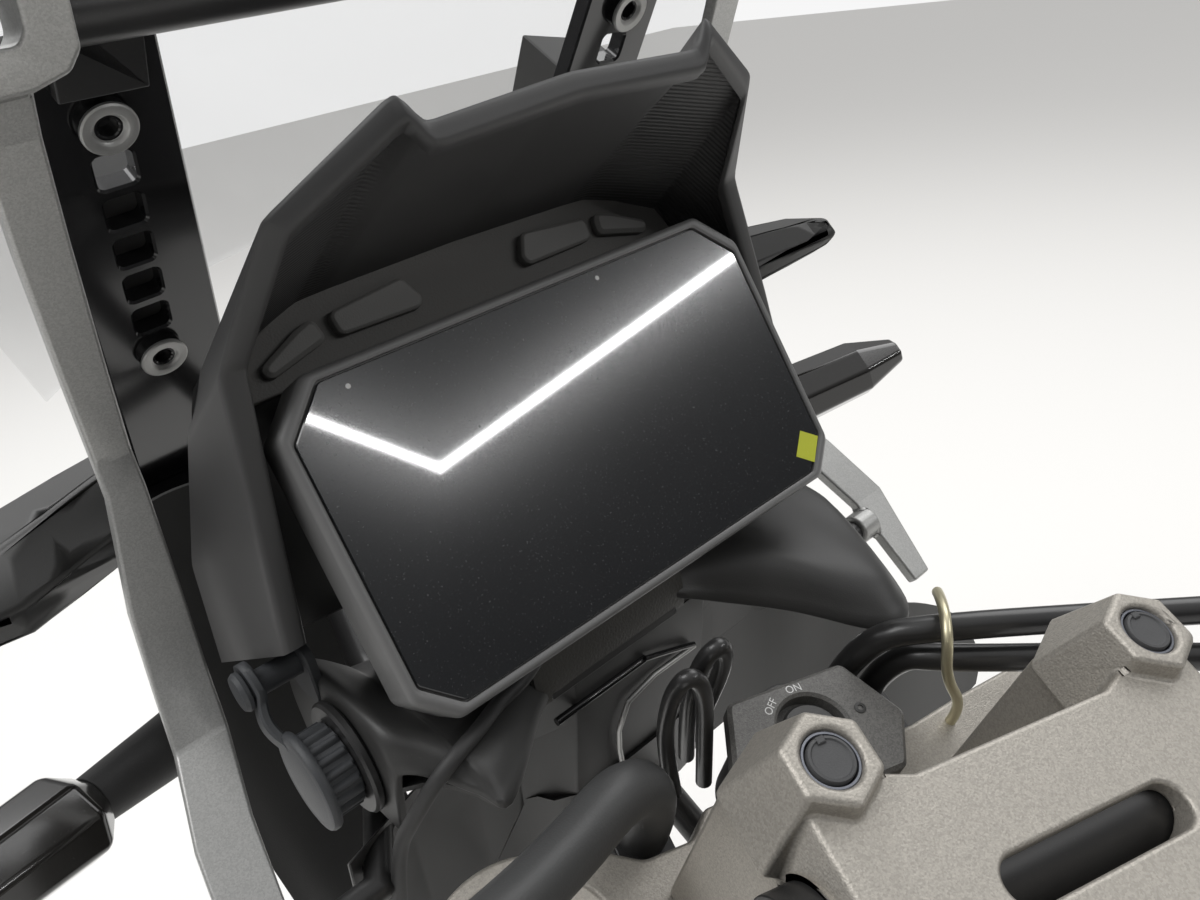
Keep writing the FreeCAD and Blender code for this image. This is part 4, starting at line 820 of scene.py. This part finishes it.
def liningPieces(values):
    for name, sheet in values.items():
        outer = smoothPatch(np.reshape(sheet["rows"], (len(sheet["rows"]), -1, 3)), *sheet["steps"])
        inner = outer + unit(sheet["inward"]) * sheet["wall"]
        part = loft(np.concatenate([outer, inner[:, ::-1]], axis=1))
        parts = [part, mirrored(part)] if sheet.get("mirrored") else [part]
        matrix, material = sheet.get("frame", rowFrame), sheet.get("finish", "cowlPlastic")
        build(name, parts, matrix, material, "cockpit", "cowl", sharp=40)


liningPieces(linings)

edges = {  # thin rounded edges on the wall under the display, one of them a painted highlight: path, radius, finish
    "glossEdge": ([(-39, 96.2, 140.9), (-20, 96.2, 140.9), (0.5, 96.2, 140.9)], 1.4, "glossBlack"),
    "stepEdge": ([(-1, 94.5, 142.4), (10, 95, 138.2), (23, 96, 132.6)], 1.0, "glossBlack"),
    # the bent plate itself is dark: only its rim is drawn, in the bright zinc finish, as a painted highlight of the
    # light along that rim
    "bentEdgeHighlight": ([(24, 97, 131), (4, 97.2, 131), (-8.6, 97.8, 127.5), (-13.6, 99.6, 117), (-12.9, 102.4, 106.6),
                  (-10, 106.6, 92)], 1.0, "washerZinc"),
}
for name, (path, radius, material) in edges.items():
    build(name, [tube(path, radius, 12)], rowFrame, material, "cockpit", "cowl")


# Power socket on the console, and its rubber cap on a strap

socket = {
    "flange": [(11.9, -11), (11.9, -0.2), (17.0, -0.2), (18.0, 0.6), (18.0, 2.2), (17.2, 3.0), (13.5, 3.0),
               (10.4, 3.0), (10.0, 2.4), (10.0, -11)],
    "stud": (24.2, 20.4),
    "studProfile": [(4.0, -1.0), (4.0, 15.0), (4.6, 16.0), (6.0, 16.4), (6.2, 17.6), (5.4, 18.8), (3.0, 19.2),
                    (0.4, 19.2)],
    "ear": [(10.2, 12.4), (30.2, 12.4), (30.2, 28.4), (10.2, 28.4)], "earRound": 4.0,
    "earRise": (-3.0, 0.0, 0.6),  # foot, top and chamfer
    "ribs": 18, "ribDeep": 1.5, "ribSharp": 1.6, "ribShift": 0.1,
    "capRadius": 13.3,
    "capRows": [(3.3, 0.4, 0.8), (4.1, 1.0, 0.0), (11.7, 1.0, 0.0), (12.7, 0.3, 0.0), (13.8, 0.0, 0.0)],
    "disc": [(13.0, 12.3), (15.2, 12.3), (15.6, 12.9), (15.6, 14.2), (15.1, 15.0), (13.4, 15.4), (12.6, 15.2),
             (12.0, 15.3), (6.0, 15.6), (0.4, 15.7)],
    "strap": {"start": 9.0, "low": 12.4, "half": 4.5, "thick": 3.0, "edge": 0.7,
              "eye": 7.7, "eyeLead": 6.0, "eyeEnd": 0.3, "tip": 7.6, "eyeLift": 0.5, "steps": 30,
              "waist": (11.0, 14.0, 0.7), "arch": (12.0, 16.0, 2.0)},
}


def capSkirt(values):
    # the skirt's radius dips between its ribs, round the whole turn; each row has its height, ribs' share and draw-in
    count = values["ribs"] * 12
    wave = np.cos(around(count) * values["ribs"]) * values["ribSharp"] - values["ribShift"]
    dip = np.clip(wave, -1, 1) * 0.5 + 0.5
    levels = []
    for height, share, pull in values["capRows"]:
        radius = values["capRadius"] - pull - values["ribDeep"] * share * (1 - dip)
        levels.append((circle(count) * radius[:, None], height))
    return stack(levels)


def bulge(along, start, length, size):
    # half a sine wave over one stretch
    return size * np.sin(np.clip((along - start) / length, 0, 1) * math.pi)


def strapPart(strap, stud):
    # a flat band from the disc's edge out to the stud, with an eye round the stud and an arch between them
    far = np.linalg.norm(stud)
    way = np.array(stud) / far
    cross = np.array([way[1], -way[0]])
    lead, (archStart, archEnd, archTall) = far - strap["eyeLead"], strap["arch"]
    along = np.linspace(strap["start"], far + strap["tip"], strap["steps"])
    half = strap["half"] - bulge(along, *strap["waist"])
    inEye = along > lead
    half[inEye] = np.sqrt(np.maximum(strap["eye"] ** 2 - (along[inEye] - far) ** 2, strap["eyeEnd"] ** 2))
    eyeShare = np.clip((along - lead) / (strap["eyeLead"] + strap["tip"]), 0, 1)
    lift = strap["low"] + bulge(along, archStart, far - archEnd, archTall) + strap["eyeLift"] * eyeShare
    rows = []
    for reach, wide, low in zip(along, half, lift):
        edge, high = min(strap["edge"], wide * 0.5), low + strap["thick"]
        section = [(-wide, low + edge), (-wide + edge, low), (wide - edge, low), (wide, low + edge),
                   (wide, high - edge), (wide - edge, high), (-wide + edge, high), (-wide, high - edge)]
        rows.append([(*(way * reach + cross * across), height) for across, height in section])
    return loft(rows)


def socketPieces(values):
    build("socketShell", [lathe(values["flange"], 64, ring=True)], socketFrame, "stayPaint", "cockpit",
          "power_socket", ("power_socket",))
    build("socketCapBody", [capSkirt(values), lathe(values["disc"], 64), strapPart(values["strap"], values["stud"])],
          socketFrame, "capRubber", "cockpit", "socket_cap", ("socket_cap",), sharp=38)
    ear = prism(roundCorners(values["ear"], values["earRound"], 4), *values["earRise"])
    stud = lathe(values["studProfile"], 32, values["stud"])
    build("consoleEar", [ear, stud], socketFrame, "capRubber", "cockpit", "cowl", ("socket_console",), sharp=35)


socketPieces(socket)
print("cowls and socket made")


# Steering castings, bolts and lock

bolts = {
    "spread": 49.0, "forward": -11.0, "pitch": 27.6, "top": -47.0,
    "bossReach": 17.5, "bossDeep": 7.6, "bossShare": 0.73,
    "seat": [(6.85, -7.0), (6.85, -1.7), (6.6, -1.4), (6.1, -1.4), (5.9, -1.7), (5.9, -7.0)],
    "cap": [(5.6, -7.0), (5.6, -1.2), (5.3, -0.7), (4.7, -0.6), (4.4, -0.95), (4.0, -1.0), (0.4, -0.8)],
    "notch": [(-1.0, 3.7), (1.0, 3.7), (1.0, 5.4), (-1.0, 5.4)], "notchRise": (-1.4, -0.3, 0.25),
}
boltCentres = [(sx * bolts["spread"], bolts["forward"] + sy * bolts["pitch"]) for sx in (-1, 1) for sy in (-1, 1)]


def slimBosses(points):
    # the tops of the bosses and their recesses drawn in towards each bolt's axis, so that the bosses taper
    local = (points / mm - steerFrame[:3, 3]) @ steerFrame[:3, :3]
    for centre in boltCentres:
        offset = local[:, :2] - centre
        near = (np.linalg.norm(offset, axis=1) < bolts["bossReach"]) & (local[:, 2] > bolts["top"] - bolts["bossDeep"])
        local[near, :2] = centre + offset[near] * bolts["bossShare"]
    return intoRow(local, steerFrame)


castings = {"top_clamp": (1.6, None), "riser_block": (2.0, None), "bar_clamp": (1.4, slimBosses)}
for name, (width, reshape) in castings.items():
    refine(name, "castAluminium", "steering", width, 3, "casting", reshape, angle=24.0)


def boltPieces(values):
    seats, caps = [], []
    for centre in boltCentres:
        seats.append(moved(lathe(values["seat"], 48, centre, ring=True), 0, 0, values["top"]))
        caps.append(moved(lathe(values["cap"], 40, centre), 0, 0, values["top"]))
        # a small moulded block at the cap's edge
        caps.append(moved(prism(values["notch"], *values["notchRise"]), *centre, values["top"]))
    build("boltSeats", seats, steerFrame, "bluedSteel", "steering", "steel")
    build("boltCaps", caps, steerFrame, "boltRubber", "steering", "steel", ("clamp_bolts",))


boltPieces(bolts)

lock = {
    "outline": [(22.0, 70.0), (32.0, 48.0), (21.0, 32.0), (-21.0, 32.0), (-32.0, 48.0), (-22.0, 70.0)],
    "cornerRound": 3.0, "face": -128.0, "thick": 7.0,
    "chamfer": 1.3, "backChamfer": 0.8,
    "hole": (0.0, 52.5), "holeRadius": 12.0, "holeLip": 1.0, "deep": 6.0,
    "key": [(9.9, 6.0), (9.9, 2.4), (9.1, 1.6)],  # radius, depth under the face
    "keyway": (1.6, 5.0), "keywayRows": [(0.4, 1.6), (0.0, 2.0), (0.0, 5.0)],
    "screw": (18.0, 53.6),
    "screwProfile": [(1.9, -0.2), (1.9, 0.25), (1.52, 0.45), (0.95, 0.45), (0.855, -0.1), (0.3, -0.1)],
    "marks": [("ON", (1.1, 67.0), -4.0), ("OFF", (-9.4, 64.0), 39.0)],
    "markTall": 3.6, "markThick": 0.04, "markLift": 0.06,
}


def lockPieces(values):
    face, centre, chamfer = values["face"], np.array(values["hole"]), values["chamfer"]
    low, back = face - values["thick"], values["backChamfer"]
    lip, radius = values["holeLip"], values["holeRadius"]
    angles, turn = around(288), circle(288)
    outline = roundCorners(values["outline"], values["cornerRound"], 6)
    levels = [(rayed(shrunk(outline, pull), centre, angles), height)
              for pull, height in ((back, low), (0.0, low + back), (0.0, face - chamfer), (chamfer, face))]
    levels += [(centre + turn * reach, height)
               for reach, height in ((radius + lip, face), (radius, face - lip), (radius, face - values["deep"]))]
    build("lockPlateBody", [stack(levels)], steerFrame, "lockPaint", "steering", "lock_plate", ("lock_plate",),
          sharp=30)
    slot = np.array(values["keyway"]) * [(-1, -1), (1, -1), (1, 1), (-1, 1)]
    levels = [(centre + turn * reach, face - down) for reach, down in values["key"]]
    levels += [(rayed(shrunk(slot, -grow) + centre, centre, angles), face - down)
               for grow, down in values["keywayRows"]]
    build("keyBarrel", [stack(levels)], steerFrame, "darkSteel", "steering", "steel", ("key_cylinder",), sharp=30)
    screw = moved(lathe(values["screwProfile"], 24, values["screw"]), 0, 0, face)
    build("lockScrew", [screw], steerFrame, "darkSteel", "steering", "steel")
    for mark in values["marks"]:
        markPiece(values, *mark)
    refine("lock_body", "darkSteel", "steering", 0.8, slot="lock_plate")


def markPiece(values, word, place, turn):
    # generic lettering, a hair above the plate
    curve = bpy.data.curves.new("mark" + word, "FONT")
    curve.body = word
    curve.size = values["markTall"] * mm
    curve.align_x = "CENTER"
    curve.align_y = "CENTER"
    curve.extrude = values["markThick"] * mm
    temporary = bpy.data.objects.new("mark" + word, curve)
    scene.collection.objects.link(temporary)
    bpy.context.view_layer.update()
    mesh = bpy.data.meshes.new_from_object(temporary.evaluated_get(bpy.context.evaluated_depsgraph_get()))
    bpy.data.objects.remove(temporary)
    matrix = Matrix(steerFrame.tolist())
    matrix.translation *= mm
    spot = Matrix.Translation(Vector((*place, values["face"] + values["markLift"])) * mm)
    mesh.transform(matrix @ spot @ Matrix.Rotation(math.radians(turn), 4, "Z"))
    addPiece("mark" + word.title(), mesh, "markWhite", "steering", "lock_plate")


lockPieces(lock)
refine("steering_stem", "steel", "steering", 0.5, slot="steel")
refine("stem_nut", "steel", "steering", 0.8, slot="steel")
print("steering made")


# Handlebar, grips and controls

grip = {"length": 122.0, "radius": 16.5, "ribPitch": 4.2, "ribDeep": 0.9, "ribSharp": 1.5, "plain": (10, 6),
        "endRound": 1.0, "steps": 117}
barEnd = np.array([430.0, -123.0, -6.0])
barWay = unit([252.0, -98.0, 4.0])


def gripPart(values):
    # a turned sleeve whose radius ripples along it, with a plain stretch at each end
    length, (plainStart, plainEnd) = values["length"], values["plain"]
    along = np.linspace(0, length, values["steps"])
    wave = np.cos(along / values["ribPitch"] * 2 * math.pi) * values["ribSharp"]
    wave = np.clip(wave, -1, 1) * 0.5 + 0.5
    radius = values["radius"] - values["ribDeep"] * wave * ((along > plainStart) & (along < length - plainEnd))
    radius[[0, -1]] -= values["endRound"]
    start = barEnd - barWay * length
    side = unit(np.cross(barWay, [0, 0, 1]))
    turn = circle(48) @ [side, np.cross(barWay, side)]
    return loft([start + barWay * reach + turn * size for size, reach in zip(radius, along)])


gripRight = gripPart(grip)
for side, part in (("right", gripRight), ("left", mirrored(gripRight))):
    build(f"gripSleeve{side.title()}", [part], steerFrame, "rubber", "steering", "grip", (f"grip_{side}",))
    refine(f"bar_end_{side}", "barAnodised", "steering", 1.2, 3)
    refine(f"switch_{side}", "cowlPlastic", "steering", 1.4, 3)
    refine(f"lever_perch_{side}", "barAnodised", "steering", 0.8, slot="lever")
    refine(f"lever_{side}", "barAnodised", "steering", 2.2, 3)
refine("handlebar", "barAnodised", "steering", 0.4)
refine("hose_blocks", "stayPaint", "steering", 0.9, slot="hose")
print("controls made")


# Hoses, the sleeve and the guide wire: splines on the source's own route points, steer frame

cords = {
    "brakeHose": {"node": "brake_hose", "radius": 4.5, "finish": "hoseRubber", "slot": "hose", "route": [
        (249.83, -20.75, -9.03), (225.6, -11.32, -9.42), (194, 2, -40), (152, 14, -80), (104, 38, -96),
        (46, 61, -107), (28, 72, -120), (28, 72, -152)]},
    "throttleHose": {"node": "throttle_hose", "radius": 4.5, "finish": "hoseRubber", "slot": "hose", "route": [
        (289.37, -68.31, -37.35), (268.54, -60.21, -57.35), (206, -28, -72), (152, 0, -92), (104, 28, -105),
        (50, 54, -117), (39.5, 66.5, -127), (39.5, 66.5, -152)]},
    "clutchSleeve": {"node": "clutch_sleeve", "radius": 8.0, "finish": "sleeveRubber", "slot": "sleeve", "route": [
        (-249.83, -20.75, -9.03), (-225.6, -11.32, -9.42), (-190, 4, -44), (-140, 16, -88), (-96, 36, -105),
        (-71, 50, -108), (-57, 51, -127), (-57, 51, -152)]},
    "guideWire": {"node": "cable_guide", "radius": 1.75, "finish": "wireZinc", "slot": "steel", "route": [
        (53, 43, -140), (53, 43, -130), (40, 47, -112), (38, 52, -98), (44, 63, -96), (52, 71, -104)]},
    "lockWireOuter": {"radius": 2.7, "finish": "hoseRubber", "slot": "hose", "route": [
        (-40, 60, -156), (-46, 66, -132), (-49.5, 67, -104), (-47, 66, -91), (-40, 65, -100), (-31.5, 64, -136),
        (-29, 60, -156)]},
    "lockWireInner": {"radius": 2.7, "finish": "hoseRubber", "slot": "hose", "route": [
        (-30, 70, -156), (-37.5, 71, -122), (-39, 71, -98), (-34, 71, -89), (-28, 72, -104), (-26, 74, -134),
        (-26, 74, -152)]},
    "dashCable": {"radius": 2.3, "finish": "rubber", "slot": "hose", "body": "cockpit", "frame": rowFrame, "route": [
        (-36, 97, 170), (-47, 91, 168.5), (-61.5, 89.5, 167), (-72, 82, 170), (-81.8, 77.5, 171.5), (-90, 78.5, 166.5),
        (-95.5, 84, 156), (-101, 95, 138), (-103, 101, 112)]},
}


def cordPiece(name, values):
    body = values.get("body", "steering")
    route = intoRow(values["route"], values.get("frame", steerFrame))
    curve = bpy.data.curves.new(name, "CURVE")
    curve.dimensions = "3D"
    spline = curve.splines.new("NURBS")
    spline.points.add(len(route) - 1)
    spline.points.foreach_set("co", np.column_stack([route, np.ones(len(route))]).ravel())
    spline.order_u = 3
    spline.use_endpoint_u = True
    spline.resolution_u = 14
    curve.bevel_depth = values["radius"] * mm
    curve.bevel_resolution = 6
    curve.use_fill_caps = True
    curve.materials.append(finishes[values["finish"]])
    item = bpy.data.objects.new(name, curve)
    scene.collection.objects.link(item)
    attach(item, body)
    if values.get("node"):
        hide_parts(values["node"])


for name, values in cords.items():
    cordPiece(name, values)
print("hoses made")


# Wings, turn signals, stay and the parts underneath

for side in signs:
    refine(f"deflector_wing_{side}", "cowlPlastic", "cockpit", 2.2, 3)
    refine(f"signal_lamp_{side}", "lampLens", "cockpit", 1.6, 3, angle=20.0)
    refine(f"signal_stalk_{side}", "rubber", "cockpit", 0.4)
    refine(f"screen_slide_{side}", "cowlPlastic", "screen", 0.8)
refine("windscreen", "screenClear", "screen", 0.7, sharp=40)
refine("display_bracket", "stayPaint", "cockpit", 0.5)
refine("cockpit_stay", "stayPaint", "cockpit", 0.0)
refine("steering_head", "stayPaint", "cockpit", 0.8)
print("frame parts made")


# Floor, world and lamps

studio = {
    "floorDrop": 0.12, "floorHalf": 6, "floorRough": 0.6,
    "floorColour": (0.80, 0.79, 0.77),
    "lamps": [  # name, place, target, size, power
        ("keyLamp", (-1.0, 0.6, 2.0), (0, 0.1, 0.25), (1.6, 1.2), 24.0),
        ("fillLamp", (1.4, 0.2, 1.5), (0, 0.1, 0.2), (1.2, 1.2), 10.0),
        ("backLamp", (0.2, 1.9, 1.5), (0, 0.1, 0.25), (1.6, 0.8), 12.0),
    ],
    "strips": [  # two strip lamps over the rider's shoulder, which the glass mirrors: ends, width, power
        ("stripShort", (0.435, -1.171, 1.058), (0.618, -1.213, 0.849), 0.014, 0.85),
        ("stripLong", (0.612, -1.214, 0.853), (1.30, -0.823, 0.811), 0.015, 2.4),
    ],
    "glassCentre": (0, 0.1, 0.225),
    "world": {"low": 0.16, "high": 0.95, "from": 0.10, "to": 0.85, "behind": 0.45, "behindFrom": -0.9,
              "backdrop": (0.93, 0.93, 0.93, 1)},
}


def lampPiece(name, place, matrix, size, power):
    data = bpy.data.lights.new(name, "AREA")
    data.shape = "RECTANGLE"
    data.size, data.size_y = size
    data.energy = power
    lamp = bpy.data.objects.new(name, data)
    lamp.matrix_world = Matrix.Translation(place) @ matrix.to_4x4()
    scene.collection.objects.link(lamp)


def studioSet(values):
    low = cadBounds[0]
    drop, half = low.z - values["floorDrop"], values["floorHalf"]
    floor = bpy.data.meshes.new("floor")
    corners = [(-half, -half, drop), (half, -half, drop), (half, half, drop), (-half, half, drop)]
    floor.from_pydata(corners, [], [(0, 1, 2, 3)])
    item = bpy.data.objects.new("floor", floor)
    scene.collection.objects.link(item)
    material = bpy.data.materials.new("floorPale")
    material.use_nodes = True
    shader = material.node_tree.nodes["Principled BSDF"]
    shader.inputs["Base Color"].default_value = (*values["floorColour"], 1)
    shader.inputs["Roughness"].default_value = values["floorRough"]
    floor.materials.append(material)
    for name, place, target, size, power in values["lamps"]:
        way = Vector(target) - Vector(place)
        lampPiece(name, place, way.to_track_quat("-Z", "Y").to_matrix(), size, power)
    for name, first, last, wide, power in values["strips"]:
        first, last = Vector(first), Vector(last)
        middle = (first + last) / 2
        along = (last - first).normalized()
        back = (middle - Vector(values["glassCentre"])).normalized()
        across = back.cross(along).normalized()
        back = along.cross(across)
        lampPiece(name, middle, Matrix((along, across, back)).transposed(), ((last - first).length, wide), power)
    worldSet(values["world"])


def worldSet(values):
    # plain to the camera; to the object it darkens towards the horizon and behind the rider, as a room does
    world = scene.world = bpy.data.worlds.new("world")
    world.use_nodes = True
    work = Build(world.node_tree)
    back = world.node_tree.nodes["Background"]
    back.inputs["Strength"].default_value = 1.0
    way = work.add("ShaderNodeTexCoord").outputs["Generated"]
    parts = work.add("ShaderNodeSeparateXYZ", Vector=way).outputs
    level = work.between(parts["Z"], values["from"], values["to"], values["low"], values["high"])
    shade = work.between(parts["Y"], values["behindFrom"], 0.0, values["behind"], 1.0)
    level = work.maths("MULTIPLY", level, shade)
    tint = work.add("ShaderNodeCombineColor", Red=level, Green=level, Blue=level)
    cameraRay = work.add("ShaderNodeLightPath").outputs["Is Camera Ray"]
    work.set(back.inputs["Color"], work.mixed(cameraRay, tint.outputs["Color"], values["backdrop"]))


studioSet(studio)
print("studio set")
